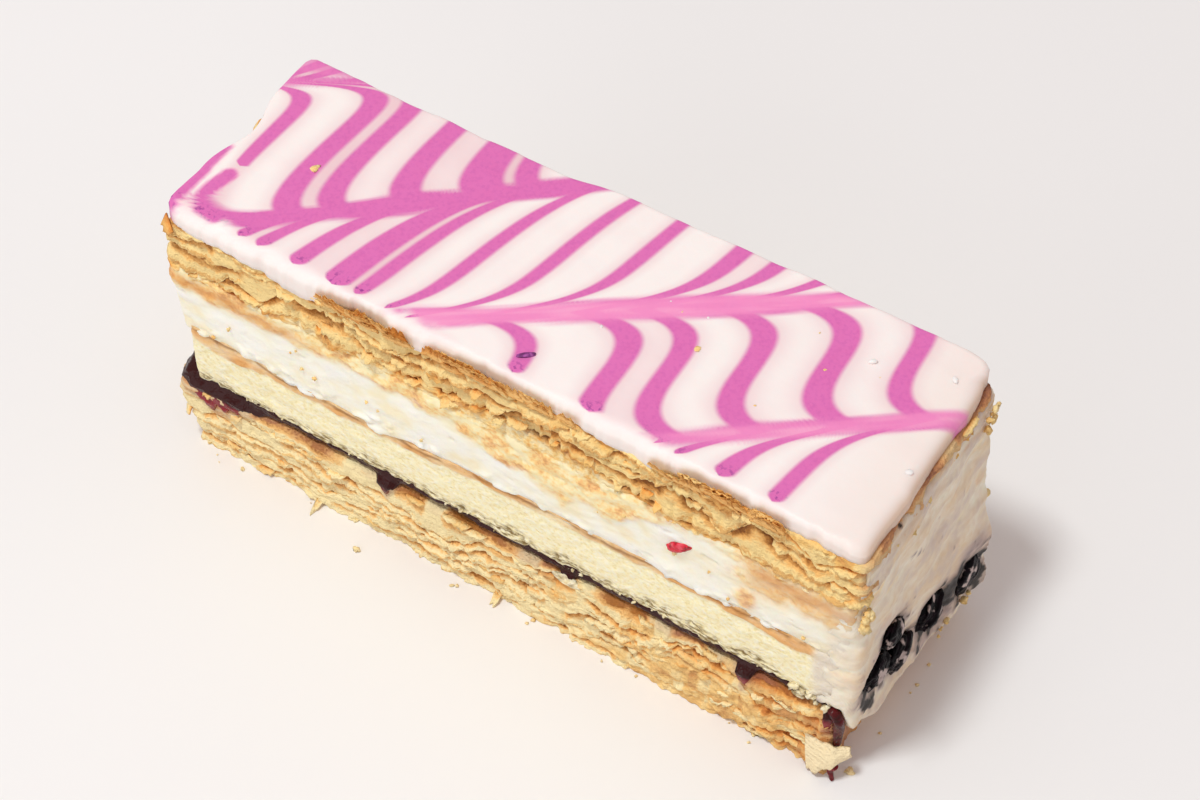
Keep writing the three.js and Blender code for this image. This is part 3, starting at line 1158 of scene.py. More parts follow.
    def body(self) -> Piece:
        """Builds the sheet itself, closed above and below.

        Returns:
            The piece.
        """
        walk = self.outline.walk()
        thickness = self.high - self.low
        out, height, traits = self.leaves(walk)
        traits |= self.traits(walk, height)
        traits["tone"] = traits["tone"] - traits.pop("darkened")
        out = out + self.swell(walk, height)
        height = np.clip(height, 0.04, thickness)
        inset = np.array([1.0, 0.12, *[0.0] * len(out), 0.03, 0.12, 1.0])
        shelf = np.full((1, len(walk.arc)), thickness)
        heights = np.vstack([0 * height[:2], height, shelf, shelf, shelf])
        points = ring_points(walk, capped(out, 2, 3), self.low + heights, inset)
        traits = {name: capped(v, 2, 3) for name, v in traits.items()}
        return skin(self.name + "_sheet", points, traits)

    def loose(self) -> Piece:
        """Builds the loose leaves that stand out of the side.

        Returns:
            All of them as one piece.
        """
        draw = np.random.default_rng(self.seed)
        sizes, count = self.flakes, self.flakes.count
        walk = self.outline.walk()
        arc = (np.arange(count) + draw.random(count)) * walk.around / count
        height = draw.random(count) * (self.high - self.low)
        place = walk.at(arc)
        kept = draw.random(count) > self.calm(place, height)
        arc, height = arc[kept], height[kept]
        return self.bend(arc, height, draw, sizes, self.name + "_flakes")

    def bend(
        self,
        arc: Array,
        height: Array,
        draw: np.random.Generator,
        sizes: FlakeSizes,
        name: str,
    ) -> Piece:
        """Bends a leaf for each place of the side.

        Args:
            arc: How far round the sheet each leaf lies.
            height: How high above its underside.
            draw: The source of random numbers.
            sizes: The leaves' sizes.
            name: The piece's name.

        Returns:
            All the leaves as one piece.
        """
        count = len(arc)
        template, along, away, face = leaf_template(sizes.segments)
        length = draw.uniform(*sizes.length, (count, 1))
        reach = draw.uniform(*sizes.reach, (count, 1))
        droop = np.radians(draw.uniform(*sizes.droop, (count, 1)))
        twist, arch = draw.normal(0, 0.12, (count, 1)), draw.normal(0, 0.2, (count, 1))
        phase = draw.uniform(0, 2 * math.pi, (3, count, 1))
        place = self.outline.walk().at(arc)
        root = self.swell(place, height)[:, None] + sizes.proud
        lobes = 0.2 * np.sin(along * length * 1.9 + phase[0])
        lobes = lobes + 0.12 * np.sin(along * length * 4.1 + phase[1])
        rim = np.sqrt(np.clip(1 - 0.9 * np.abs(along) ** 4, 0.02, 1)) + lobes * away
        out = root + (reach * rim - min(sizes.proud, 0.0)) * away * np.cos(droop)
        drop = (0.3 + reach * rim) * away**1.5 * np.sin(droop)
        side = along * length / 2 * (1 - 0.12 * away) + 0.15 * np.sin(away * 3 + phase[2])
        lift = arch * (1 - along**2) + twist * along * length / 2
        lift = lift + 0.1 * np.sin(along * length * 2.3 + phase[2])
        thick = sizes.thickness * (face - 0.5) * (1 - 0.6 * away)
        turned = [getattr(place, n)[:, None] for n in ("x", "y", "nx", "ny")]
        x = turned[0] + turned[2] * (out + thick * np.sin(droop)) - turned[3] * side
        y = turned[1] + turned[3] * (out + thick * np.sin(droop)) + turned[2] * side
        z = self.low + height[:, None] - drop + lift + thick * np.cos(droop)
        z = np.clip(z, 0.05 + 0.25 * face, self.high + 2.7 + 0.2 * face)
        points = np.stack([x, y, z], axis=-1)
        # Painted shade: darker at the root, where the leaf leaves the side, and on its underside.
        relief = sizes.shade + 0.45 * away + 0.1 * lobes - 0.25 * (face < 0.5)
        relief = relief + sizes.toasted * smooth(away, 0.5, 1.0)
        tone = draw.uniform(*sizes.tone, (count, 1))
        traits = {"relief": relief, "tone": tone, "soaked": 0.0, "stain": 0.0}
        return repeated(name, template, points, traits)


def leaf_template(segments: tuple[int, int]) -> tuple[Mesh, Array, Array, Array]:
    """Makes the flat leaf that every loose flake is bent from.

    Args:
        segments: How many faces it has along and away from the side.

    Returns:
        Its mesh, and for each vertex the place along it from -1 to 1, the place away from the
        side from 0 to 1, and 0 underneath or 1 on top.
    """
    work = bmesh.new()
    bmesh.ops.create_grid(work, x_segments=segments[0], y_segments=segments[1], size=1.0)
    bmesh.ops.solidify(work, geom=work.faces[:], thickness=0.1)
    bmesh.ops.recalc_face_normals(work, faces=work.faces[:])
    mesh, flat = settled(work, "leaf_template")
    flat = flat.astype(float)
    top = (flat[:, 2] > flat[:, 2].mean()).astype(float)
    span = np.abs(flat[:, :2]).max(axis=0)
    return mesh, flat[:, 0] / span[0], (flat[:, 1] / span[1] + 1) / 2, top


@dataclass(frozen=True)
class LooseLeaf:
    """A broad flake with a shape of its own, between two edges given by a few points each."""

    name: str
    finish: PastryFinish
    upper: tuple[Triple, ...]
    lower: tuple[Triple, ...]
    thickness: float = 0.45
    bulge: float = 0.4
    relief: float = 0.8
    tone: float = 0.45
    seed: int = 5

    def build(self) -> None:
        """Bends a flat leaf between its edges, ragged all round, and dresses it."""
        template, along, away, face = leaf_template((26, 14))
        ragged = 0.09 * rough(along * 4, 0 * along, (1.1, 1), self.seed)
        tip = 0.06 * rough(away * 3, 0 * away, (1.1, 1), self.seed + 1)
        share = np.clip((along * (1 - tip) + 1) / 2, 0, 1)
        down = away * (1 + ragged)
        edges = []
        for edge in (self.upper, self.lower):
            knots = np.array(edge)
            spots = np.linspace(0, 1, len(knots))
            edges.append(np.stack([np.interp(share, spots, axis) for axis in knots.T], axis=-1))
        flat = edges[0] + (edges[1] - edges[0]) * down[:, None]
        fall = edges[1].mean(axis=0) - edges[0].mean(axis=0)
        out = np.cross(fall, np.array(self.upper[-1]) - np.array(self.upper[0]))
        out = out / np.linalg.norm(out)
        proud = self.bulge * np.sin(math.pi * away)
        proud = proud + 0.25 * rough(along * 5, away * 4, (1.6, 1.6), self.seed)
        proud = proud + (face - 0.5) * self.thickness
        points = (flat + out * proud[:, None])[None]
        points[..., 2] = np.clip(points[..., 2], 0.05, None)
        # Painted shade: darker towards the edge it grows from, and on its underside.
        relief = self.relief - 0.15 * (1 - away) - 0.2 * (face < 0.5)
        traits = {"relief": relief, "tone": self.tone, "soaked": 0.0, "stain": 0.0}
        dress(Slot.BASE, self.finish, repeated(self.name, template, points, traits))


CORNER_FLAKE = LooseLeaf(
    "corner_flake",
    PastryFinish(
        "pale_flake", gap="#E3B36E", shade="#F5CF8F", face="#FDE0A8", light="#FFEBBE", rim="#F7D79B"
    ),
    upper=((58.6, -21.6, 8.4), (61.5, -21.9, 8.0), (64.3, -22.1, 8.6), (66.4, -20.6, 8.4)),
    lower=((60.4, -23.4, 0.6), (62.6, -23.8, 1.6), (64.8, -23.4, 4.4), (67.0, -21.0, 6.6)),
)


@dataclass
class BaseSheet(PastrySheet):
    """The bottom sheet: long pale leaves pressed flat, cut back at its toe on the start."""

    name: str = "base"
    finish: PastryFinish = PastryFinish(
        "pressed_puff_pastry", 0.7, specular=0.3, streaked=0.15, crumbly=0.6, gap="#B0702F",
        shade="#EDB269", face="#FFD088", light="#FFEBB4", rim="#F6CD88",
    )
    flakes: FlakeSizes = FlakeSizes(170, length=(2, 6), reach=(0.3, 1.1), droop=(10, 60), toasted=0.05)
    seed: int = 101
    outline: Outline = Outline(right=63.2, pitch=0.32)
    leaf: float = 2.3
    plate: float = 6.0
    groove: float = 1.25
    ragged: float = 0.5
    sag: float = 0.3
    wave: float = 0.9
    lens: float = 0.8
    uneven: float = 1.8
    tone: float = 0.35
    opening: float = 0.48
    shard_seed: int = 17
    # Thin shards that lie before the front: name, place round it, height, length and reach.
    shards: tuple[tuple[str, float, float, float, float], ...] = (
        *(("front_shard", 26.0, 1.3, 1.4, 2.9), ("small_shard", 63.4, 1.0, 1.6, 2.2)),
    )

    def build(self) -> None:
        """Builds and dresses the sheet, its loose leaves and the shards and flake before it."""
        dress(Slot.BASE, self.finish, self.body(), self.loose())
        draw = np.random.default_rng(self.shard_seed)
        for name, arc, height, length, reach in self.shards:
            sizes = FlakeSizes(1, (length, length), (reach, reach), (12, 12), thickness=0.4, toasted=0.0)
            piece = self.bend(np.array([arc]), np.array([height]), draw, sizes, name)
            dress(Slot.BASE, self.finish, piece)
        CORNER_FLAKE.build()

    def swell(self, walk: Walk, height: Array) -> Array:
        """Leans out upwards on the start and downwards along the front.

        Args:
            walk: The places round the sheet.
            height: Heights over its underside.

        Returns:
            How far the side stands out.
        """
        level = height / (self.high - self.low)
        start = -2.4 + 5.4 * smooth(level, 0, 0.75)
        sides = 0.65 + 0.7 * smooth(walk.x, -40, 20) * (1 - level)
        return walk.start * start + (walk.front + walk.back) * sides

    def calm(self, walk: Walk, height: Array) -> Array:
        """Smooth on the end and where jam lies over it.

        Args:
            walk: The places round the sheet.
            height: Heights over its underside.

        Returns:
            The smoothness of each place, from 0 to 1.
        """
        under = smooth(height, self.high - jam_sag(walk) - 1.2, self.high - jam_sag(walk) + 0.4)
        covered = under * smooth(jam_sag(walk), 0.8, 1.8)
        left = 0.25 * smooth(-walk.x, 10, 45) * walk.front
        return np.clip(0.6 * walk.end + 0.4 * covered + left, 0, 1)

    def traits(self, walk: Walk, height: Array) -> Traits:
        """Stains the top edge and the pastry round each run with jam, soaks the end and darkens towards it.

        Args:
            walk: The places round the sheet.
            height: Heights over its underside.

        Returns:
            The traits soaked and stain, and how much darker each place is.
        """
        ragged = 1.2 * walk.rough(height, (4, 2), self.seed + 60, 4)
        depth = 0.1 + jam_sag(walk) + ragged
        share = 0.45 * smooth(height, self.high - depth - 0.8, self.high - depth + 1.0)
        film = 0.7 * walk.end * smooth(-walk.y + ragged, 6, 18)
        # Darker towards the end, paler at the start.
        soaked, darkened = 0 * height + 0.35 * walk.end, 0 * height + 0.7 * smooth(walk.x, -40, 62) - 0.32
        return {"soaked": soaked, "stain": np.maximum(share, film), "darkened": darkened}


@dataclass
class LidSheet(PastrySheet):
    """The top sheet: crumbly scales over a smooth, buttery underside."""

    name: str = "lid"
    finish: PastryFinish = PastryFinish("crumbly_puff_pastry", 0.7, specular=0.3, crumbly=0.45)
    flakes: FlakeSizes = FlakeSizes(
        150, length=(1.5, 5), reach=(0.4, 1.5), droop=(10, 60), segments=(10, 3)
    )
    seed: int = 203
    outline: Outline = Outline(right=64.2, pitch=0.28)
    # Height of the dark gap over the smooth underside, at places along the front.
    gap_line: tuple[Pair, ...] = (
        *((-65, 1.0), (-46, 1.2), (-41, 3.2), (-35, 2.0), (-27, 2.6), (-14, 2.4)),
        *((0, 4.0), (12, 4.0), (21, 2.4), (34, 1.4), (45, 1.2), (64, 1.4)),
    )

    def build(self) -> None:
        """Builds and dresses the sheet, its loose leaves and the flakes before the icing."""
        dress(Slot.LID, self.finish, self.body(), self.loose(), self.standing())

    def first_leaf(self, walk: Walk) -> Array:
        """Finds how high the smooth underside reaches.

        Args:
            walk: The places round the sheet.

        Returns:
            Its height at each place.
        """
        places, heights = zip(*self.gap_line)
        front = np.interp(walk.x, places, heights)
        other = 2.0 + 0.8 * walk.grain(0, (14, 1), self.seed + 70)
        return walk.front * front + (1 - walk.front) * other

    def swell(self, walk: Walk, height: Array) -> Array:
        """Follows the icing above it.

        Args:
            walk: The places round the sheet.
            height: Heights over its underside.

        Returns:
            How far the side stands out.
        """
        back = np.maximum(0, back_edge(walk.x) - 0.3)
        sides = 1.1 * walk.start + back * walk.back + 0.35 * walk.front
        return sides + walk.end * (0.2 + 0.8 * smooth(height, 9, 11.5))

    def calm(self, walk: Walk, height: Array) -> Array:
        """Smooth below the dark gap and on the smeared end.

        Args:
            walk: The places round the sheet.
            height: Heights over its underside.

        Returns:
            The smoothness of each place, from 0 to 1.
        """
        below = 1 - smooth(height, self.first_leaf(walk) - 0.4, self.first_leaf(walk))
        quiet = 0.3 * smooth(abs(walk.x + 10), 22, 50) * walk.front
        return np.clip(0.9 * below + 0.35 * walk.end + quiet, 0, 1)

    def traits(self, walk: Walk, height: Array) -> Traits:
        """Soaks the underside with butter, and darkens the gap over it and the rim under the icing.

        Args:
            walk: The places round the sheet.
            height: Heights over its underside.

        Returns:
            The traits soaked and stain, and how much darker each place is.
        """
        below = 1 - smooth(height, self.first_leaf(walk) - 0.5, self.first_leaf(walk) + 0.1)
        # Painted shade in the dark gap over the smooth underside, with some browning.
        gap = 0.3 * bump(height, self.first_leaf(walk) - 0.3, 0.9)
        # Under the icing, painted shadow of its edge with some browning; paler towards the start.
        rim = (0.15 * smooth(height, 8.5, 11.5) - 0.4 * smooth(-walk.x, 10, 55)) * walk.front
        under = 0.4 * smooth(-walk.x, 34, 44) * (1 - smooth(height, 1.2, 2.6)) * walk.front
        stain, darkened = 0.4 * walk.end + 0 * height, gap + rim + under - 0.14
        return {"soaked": 0.95 * below, "stain": stain, "darkened": darkened}

    def standing(self) -> Piece:
        """Builds the flakes that stand up in front of the icing's edge.

        Returns:
            All of them as one piece.
        """
        draw = np.random.default_rng(self.seed + 9)
        # Stretches of the front along X, how many flakes stand there and how high they reach.
        stretches = ((-35, -19, 15, 1.6), (-13, 13, 26, 2.0), (29, 44, 14, 2.4), (46, 63, 20, 2.6))
        places = np.concatenate([draw.uniform(low, high, n) for low, high, n, _ in stretches])
        reach = np.concatenate([np.full(n, tall) for _, _, n, tall in stretches])
        walk = self.outline.walk()
        arc = np.interp(places, walk.x[: len(walk.x) // 3], walk.arc[: len(walk.x) // 3])
        height = self.high - self.low - 1.3 + 0.9 * draw.random(len(arc)) * reach
        upright = FlakeSizes(len(arc), length=(3.4, 6.4), reach=(1.9, 3.0), droop=(-84, -58), toasted=-0.5)
        upright = replace(upright, segments=(16, 5), proud=0.35, tone=(0.05, 0.5), shade=0.5)
        return self.bend(arc, height, draw, upright, self.name + "_rim_flakes")


@dataclass
class JamLayer:
    """A layer of jam with a wet bead round its edge that hangs over the pastry where it ran."""

    low: float
    high: float
    finish: JamFinish = JamFinish("berry_jam_gel", roughness=0.14, specular=0.25)
    outline: Outline = Outline(right=63.2)
    seed: int = 401
    rows: int = 14
    # Jam runs down the corner behind the big flake and comes out under it: x, y, z and radius.
    run: tuple[tuple[float, ...], ...] = (
        *((64.1, -21.4, 6.5, 0.4), (64.2, -21.1, 9, 0.6), (64.0, -20.9, 12, 0.8)),
        *((63.4, -20.8, 15, 1.1), (62.4, -20.9, 17.2, 1.0)),
    )
    drip: tuple[tuple[float, ...], ...] = (
        *((64.9, -22.9, 0.1, 0.45), (64.7, -22.8, 1.0, 0.35), (64.2, -22.6, 2.4, 0.5)),
        (64.9, -22.2, 3.8, 0.7),
    )

    def build(self) -> None:
        """Builds and dresses the layer, then the jam that runs down at the corner."""
        dress(Slot.JAM, self.finish, self.layer())
        run = thread("corner_run", self.run, thin=0.45)
        dress(Slot.JAM, self.finish, run, thread("corner_drip", self.drip, thin=0.8))

    def layer(self) -> Piece:
        """Builds the layer.

        Returns:
            The piece.
        """
        walk = self.outline.walk()
        share = np.linspace(0, 1, self.rows)[:, None]
        sag = jam_sag(walk) * (1 + 0.4 * walk.grain(0, (0.9, 1), self.seed))
        sag = sag + 0.6 * walk.rough(0, (4, 1), self.seed + 1, 4) * (1 - walk.end)
        low = self.low + 0.9 - sag
        high = self.high - 0.3 + 0.4 * walk.rough(0, (3, 1), self.seed + 2)
        height = low + np.clip(high - low, 0.5, None) * share
        tongue = 3 * bump(walk.y, -15, 9) * walk.start
        over = smooth(self.low - height + 0.9 * smooth(sag, 0.8, 2.4), -0.6, 0.6)
        out = 0.3 * walk.rough(height, (2.4, 1.6), self.seed + 3) - 0.1 + tongue
        stand = 1.15 + 0.25 * smooth(walk.x, -40, 20)
        out = out + over * stand * (walk.front + walk.back + 0.6 * walk.start)
        out = out * (1 - walk.end)
        rounded = np.sqrt(np.clip(1 - (2 * share - 1) ** 4, 0, 1))
        out = out * rounded - 0.9 * (1 - rounded)
        thin = smooth(self.low - height, -0.5, 1.6) * 1.3
        return layer_skin("berry_jam", walk, out, height, {"thin": thin}, (self.low, self.high))


@dataclass
class SpongeLayer:
    """A layer of sponge cake, its browned skin on top."""

    low: float
    high: float
    finish: SpongeFinish = SpongeFinish(
        "sponge_crumb", roughness=0.95, specular=0.2, scatter=0.15, scatter_mm=(1.2, 0.9, 0.5)
    )
    outline: Outline = Outline(left=-64.3, right=63.2)
    seed: int = 301
    row: float = 0.3
    skin_depth: float = 1.8
    crumbs: tuple[Strewn, ...] = (
        Strewn((-58, -21.1, 17.4), (60, -20.8, 18.6), 24, (0.3, 0.8)),
        Strewn((55, -21.4, 16.4), (62, -21.0, 18.4), 10, (0.6, 1.7)),
    )

    def build(self) -> None:
        """Builds and dresses the cake, its crumbs and the chunk that stands out of its foot."""
        dress(Slot.SPONGE, self.finish, self.layer())
        traits = {"skin": 0.1, "crust": 0.0, "smear": 0.2, "low": 0.75}
        Lumps("sponge_crumbs", Slot.SPONGE, self.finish, self.crumbs, seed=31, traits=traits).build()
        tilt = Matrix.Translation((12.3, -21.5, 14.9)) @ Matrix.Rotation(0.12, 4, "Y")
        chunk = ball("crumb_chunk", 8, tilt @ Matrix.Diagonal((2.8, 0.7, 0.95, 1)), wrinkle=0.3)
        for trait, value in traits.items():
            set_trait(chunk.data, trait, [value] * len(chunk.data.vertices))
        dress(Slot.SPONGE, self.finish, chunk)

    def layer(self) -> Piece:
        """Builds the layer.

        Returns:
            The piece.
        """
        walk, seed = self.outline.walk(), self.seed
        count = round((self.high - self.low) / self.row) + 1
        share = np.linspace(0, 1, count)[:, None]
        edge = 0.5 * walk.rough(0, (9, 1), seed)
        # The skin lies lower along the first stretch of the front, and its top with it.
        top = self.high + 0.3 - 1.3 * smooth(walk.x, -52, -44) * (1 - smooth(walk.x, -20, 0))
        top = np.where(walk.ny < 0, top, self.high + 0.3) + 0.3 * edge
        foot = self.low - 0.55 + 0.45 * walk.rough(0, (2.6, 1), seed + 6, 4)
        height = foot + (top - foot) * share
        depth = top - height
        thick = self.skin_depth + 0.9 * edge
        thick = thick + (2.2 * bump(walk.x, -56, 6) + 1.6 * bump(walk.x, 54, 4.5)) * walk.front
        browned = smooth(thick - depth + 0.3 * walk.rough(height, (2, 1), seed + 7), -0.7, 0.4)
        browned = browned * (0.8 + 0.45 * walk.rough(height, (5, 2), seed + 8))
        crust = smooth(walk.rough(0, (3.5, 1), seed + 9), -0.5, 0.1)
        crust = 0.8 * crust * bump(depth - 0.7, 0, 0.32)
        out = 0.25 * np.sin(math.pi * share) - 0.1
        out = out + 0.22 * walk.rough(height, (3, 2), seed + 1, 4)
        out = out + browned * (0.25 + 0.2 * walk.rough(height, (4, 1.2), seed + 2))
        smeared = smooth(walk.x + 1.5 * walk.rough(height, (4, 4), seed + 3), 57.5, 60.6)
        smeared = smeared * (walk.front > 0.5)
        reach = self.low + 2.3 + 1.9 * walk.rough(0, (5, 1), seed + 4, 4)
        low = smooth(reach - height, -0.6, 1.6)
        out = out - 0.3 * low * smooth(walk.rough(height, (1.3, 0.8), seed + 5), 0, 0.6)
        out = (out + 0.2 * smeared) * (1 - walk.end)
        traits = {
            "skin": np.clip(browned, 0, 1) * (1 - smeared),
            "crust": crust * (1 - smeared),
            "smear": 0.85 * smeared,
            "low": low,
        }
        return layer_skin("vanilla_sponge", walk, out, height, traits)


@dataclass
class CreamFilling:
    """Whipped cream: the layer under the lid and the coat that the knife left on the end."""

    low: float
    high: float
    finish: CreamFinish = CreamFinish(
        "whipped_cream", roughness=0.5, scatter=0.35, scatter_mm=(2.4, 1.8, 1.2)
    )
    outline: Outline = Outline(right=64.2)
    seed: int = 601
    row: float = 0.3
    coat_top: float = 55.4
    coat_lip: Pair = (7.0, 12.5)
    coat_grid: tuple[int, int] = (190, 130)
    # Lower edge of the buttery pastry stuck to the cream, at places along the front.
    toast_line: tuple[Pair, ...] = (
        *((-66, 41.5), (-58, 40.4), (-44, 41.2), (-30, 42), (-10, 41.2), (-4, 38.8), (3, 37.6)),
        *((8.5, 37.4), (11.5, 34.2), (14, 38.2), (17, 38.6), (20.5, 36.8), (24, 40.4), (28, 43.4)),
        *((37, 43.8), (45, 43.2), (49, 41.2), (55, 40), (62, 40.2)),
    )
    # Scraps of it lower down: place along X, height, half width and half height.
    toast_spots: tuple[tuple[float, float, float, float], ...] = (
        *((48, 41.2, 4.2, 2.6), (56, 42.5, 3.2, 2.6), (61, 41.6, 2.2, 2.4), (45.2, 35.2, 1.5, 2.6)),
    )

    def build(self) -> None:
        """Builds and dresses the layer and the coat."""
        dress(Slot.CREAM, self.finish, self.layer(), self.coat())

    def toast(self, walk: Walk, height: Array) -> Array:
        """Works out how much buttery pastry clings to the cream.

        Args:
            walk: The places round the layer.
            height: Heights over the table.

        Returns:
            The share at each place, from 0 to 1.
        """
        places, edges = zip(*self.toast_line)
        front = np.interp(walk.x, places, edges)
        other = 41.6 + 1.4 * walk.grain(0, (11, 1), self.seed + 5)
        edge = walk.front * front + (1 - walk.front) * other
        edge = edge + 1.3 * walk.rough(height, (3.4, 2.6), self.seed + 6, 4)
        share = smooth(height - edge, -0.8, 1.6)
        spots = self.toast_spots
        scrap = np.max([bump(walk.x, x, a) * bump(height, z, b) for x, z, a, b in spots], axis=0)
        scrap = scrap * (1 + 0.6 * walk.rough(height, (2.4, 1.6), self.seed + 10))
        share = np.maximum(share, np.clip(2.4 * scrap, 0, 1) * walk.front)
        return share * (0.92 - 0.5 * bump(walk.x, 36, 7) * walk.front)

    def layer(self) -> Piece:
        """Builds the layer under the lid.

        Returns:
            The piece.
        """
        walk, seed = self.outline.walk(), self.seed
        count = round((self.high - self.low) / self.row) + 1
        share = np.linspace(0, 1, count)[:, None]
        ledge = 0.5 * walk.rough(0, (5, 1), seed + 7) - 0.3
        ledge = ledge - 1.3 * smooth(walk.x, -50, -44) * smooth(walk.x, -14, -24) * walk.front
        top = self.high + 0.9 + 0.5 * walk.rough(0, (4, 1), seed + 8)
        height = self.low + ledge + (top - self.low - ledge) * share
        toast = self.toast(walk, height)
        plump = np.sin(math.pi * np.clip(share, 0, 0.5)) * smooth(1 - share, 0, 0.04)
        out = (0.35 + 0.65 * walk.start) * plump
        out = out + 0.3 * walk.rough(height, (11, 6), seed)
        out = out + 0.1 * walk.rough(height, (2.6, 1.8), seed + 1)
        lumps = smooth(walk.rough(height, (3.0, 1.4), seed + 2), 0.15, 0.7)
        out = out + 0.45 * lumps * smooth(height, 34.0, 31.5)
        torn = smooth(walk.rough(height, (3.4, 1.5), seed + 3), 0.7, 0.95)
        out = out - 0.3 * torn + 0.3 * toast
        out = out + 0.4 * toast * walk.rough(height, (2.2, 1.5), seed + 4, 4)
        out = out * (1 - walk.end)
        # Painted shade, greying the front towards the shaded end.
        shade_grey = (0.35 * smooth(walk.x, 58.5, 63) + 0.12 * smooth(walk.x, 20, 50)) * walk.front
        darkened = bump(height + 0.8 * walk.rough(height, (3, 2), seed + 9, 4), 43.4, 1.5)
        darkened = 0.7 * darkened * (smooth(-walk.x, 32, 46) + 0.6 * smooth(walk.x, 44, 50)) * walk.front
        darkened = darkened + 0.4 * toast * smooth(walk.x, 43, 47) * walk.front
        traits = {"toast": toast, "shade_grey": shade_grey, "juice": 0.0, "darkened": darkened}
        return layer_skin("cream_layer", walk, out, height, traits)

    def face(self, y: Array, z: Array) -> Array:
        """Finds how far the coat stands out, with a belly that grows towards the back.

        Args:
            y: Places across the slice.
            z: Heights over the table.

        Returns:
            Its place along X.
        """
        across = (y / 21 + 1) / 2
        belly = (1.1 + 4.3 * across**2) * bump(z, 13, 19)
        smear = 0.2 * np.sin(y * 0.55 + z * 0.21) + 0.15 * np.sin(z * 0.62 - y * 0.3)
        return 65.2 + belly + smear

    def hollow(self, y: Array, z: Array) -> Array:
        """How far the cream is torn back round the berries, and between two, from 0 to 1."""
        hollows = (*BERRIES, (-9.6, 18.6, 3.4))
        return np.max([bump(np.hypot(y - at, z - up) / r, 0, 1.45) for at, up, r in hollows], axis=0)

    def coat(self) -> Piece:
        """Builds the coat on the end, dragged round the front corner by the knife.

        Returns:
            The piece.
        """
        columns, rows = self.coat_grid
        corner, front, end = 1.4, -20.5, 64.1
        # How far it runs along the front, and then across the end.
        straight = (5.2, 43.2 - 2 * corner)
        length = straight[0] + corner * math.pi / 2 + straight[1]
        along = np.linspace(0, length, columns)[None, :]
        turn = np.clip((along - straight[0]) / corner, 0, math.pi / 2)
        nx, ny = np.sin(turn), -np.cos(turn)
        x = end - corner - np.clip(straight[0] - along, 0, None) + corner * nx
        y = front + corner + corner * ny
        y = y + np.clip(along - length + straight[1], 0, None)
        on_end, seed = smooth(turn, 0.5, 1.4), self.seed
        up = np.linspace(0, 1, rows)[:, None]
        drop = self.coat_lip[0] + (self.coat_lip[1] - self.coat_lip[0]) * smooth(-y, 12, 20.5)
        lip = drop + 4.5 * (1 - on_end) + 0.9 * rough(along, 0 * along, (4, 1), seed + 20)
        top = self.coat_top - 8 * (1 - on_end) + 1.5 * rough(along, 0 * along, (6, 1), seed + 21)
        z = lip + (top - lip) * up
        along = along + 0 * z
        hollow = self.hollow(y, z) * on_end
        ragged = rough(along, z, (2.4, 1.8), seed + 23, octaves=4)
        drag = rough(along + 0.6 * z, z, (13, 2.6), seed + 24, octaves=4)
        grit = rough(along, z, (1.0, 0.8), seed + 26, octaves=2)
        out = self.face(y, z) - end - 2.0 * hollow + 0.5 * ragged * (0.3 + hollow) + 0.3 * drag
        out = out * (1 - 0.25 * smooth(z, 45, 55))
        side = 0.85 * smooth(along + 1.3 * ragged, 1.4, 3.6) + 0.25 * drag + 0.2 * ragged
        out = side + (out - side) * on_end + 0.06 * grit
        edge = np.minimum(np.minimum(along, length - along), np.minimum(z - lip, top - z))
        tuck = np.sqrt(np.clip(1 - (1 - np.clip(edge / 1.3, 0, 1)) ** 2, 0, 1))
        out = -0.5 + (out + 0.5) * tuck
        points = np.stack([x + nx * out, y + ny * out, z], axis=-1)
        smear = bump(y - 12.5 - 0.7 * (z - 20), 0, 3.2) * bump(z, 20.5, 5)
        veins = bump(z, 14.5, 3.8) * smooth(-y, 6, 17) * smooth(ragged, -0.2, 0.6)
        dark = smooth(hollow + 0.45 * ragged, 0.3, 0.6)
        stain = np.maximum(dark, 0.6 * smooth(hollow * (1 + ragged), 0.0, 0.35))
        stain = stain + 0.55 * smear + 0.75 * veins + 0.2 * smooth(z + 4 * drag, 45, 54)
        low = smooth(z, 34, 14)
        crumbs = smooth(rough(along, z, (5, 2.2), seed + 25) + 0.4 * smooth(z, 42, 54), 0.3, 0.8)
        crumbs = 0.7 * crumbs * smooth(z, 22, 34)
        # The grey is painted shade, strongest on the end, which faces away from the light.
        traits = {
            "toast": crumbs,
            "darkened": 0 * z,
            "shade_grey": np.clip((0.72 + 0.2 * grit + 0.5 * drag) * (0.45 + 0.55 * on_end), 0, 0.97),
            "juice": np.clip(stain + 0.12 * low * smooth(ragged, 0.0, 0.8), 0, 0.97),
        }
        return self.closed_sheet("cream_coat", points, traits)

    def closed_sheet(self, name: str, points: Array, traits: Traits) -> Piece:
        """Makes a piece from a dragged face and closes it behind.

        Args:
            name: The piece's name.
            points: Rows by columns by 3, in millimetres, facing +X.
            traits: Values for each point.

        Returns:
            The piece, linked to the scene.
        """
        piece = skin(name, points, traits)
        work = bmesh.new()
        work.from_mesh(piece.data)
        open_edges = [e for e in work.edges if e.is_boundary]
        filled = bmesh.ops.holes_fill(work, edges=open_edges, sides=0)["faces"]
        bmesh.ops.triangulate(work, faces=filled)
        bmesh.ops.recalc_face_normals(work, faces=work.faces[:])
        work.to_mesh(piece.data)
        work.free()
        return piece


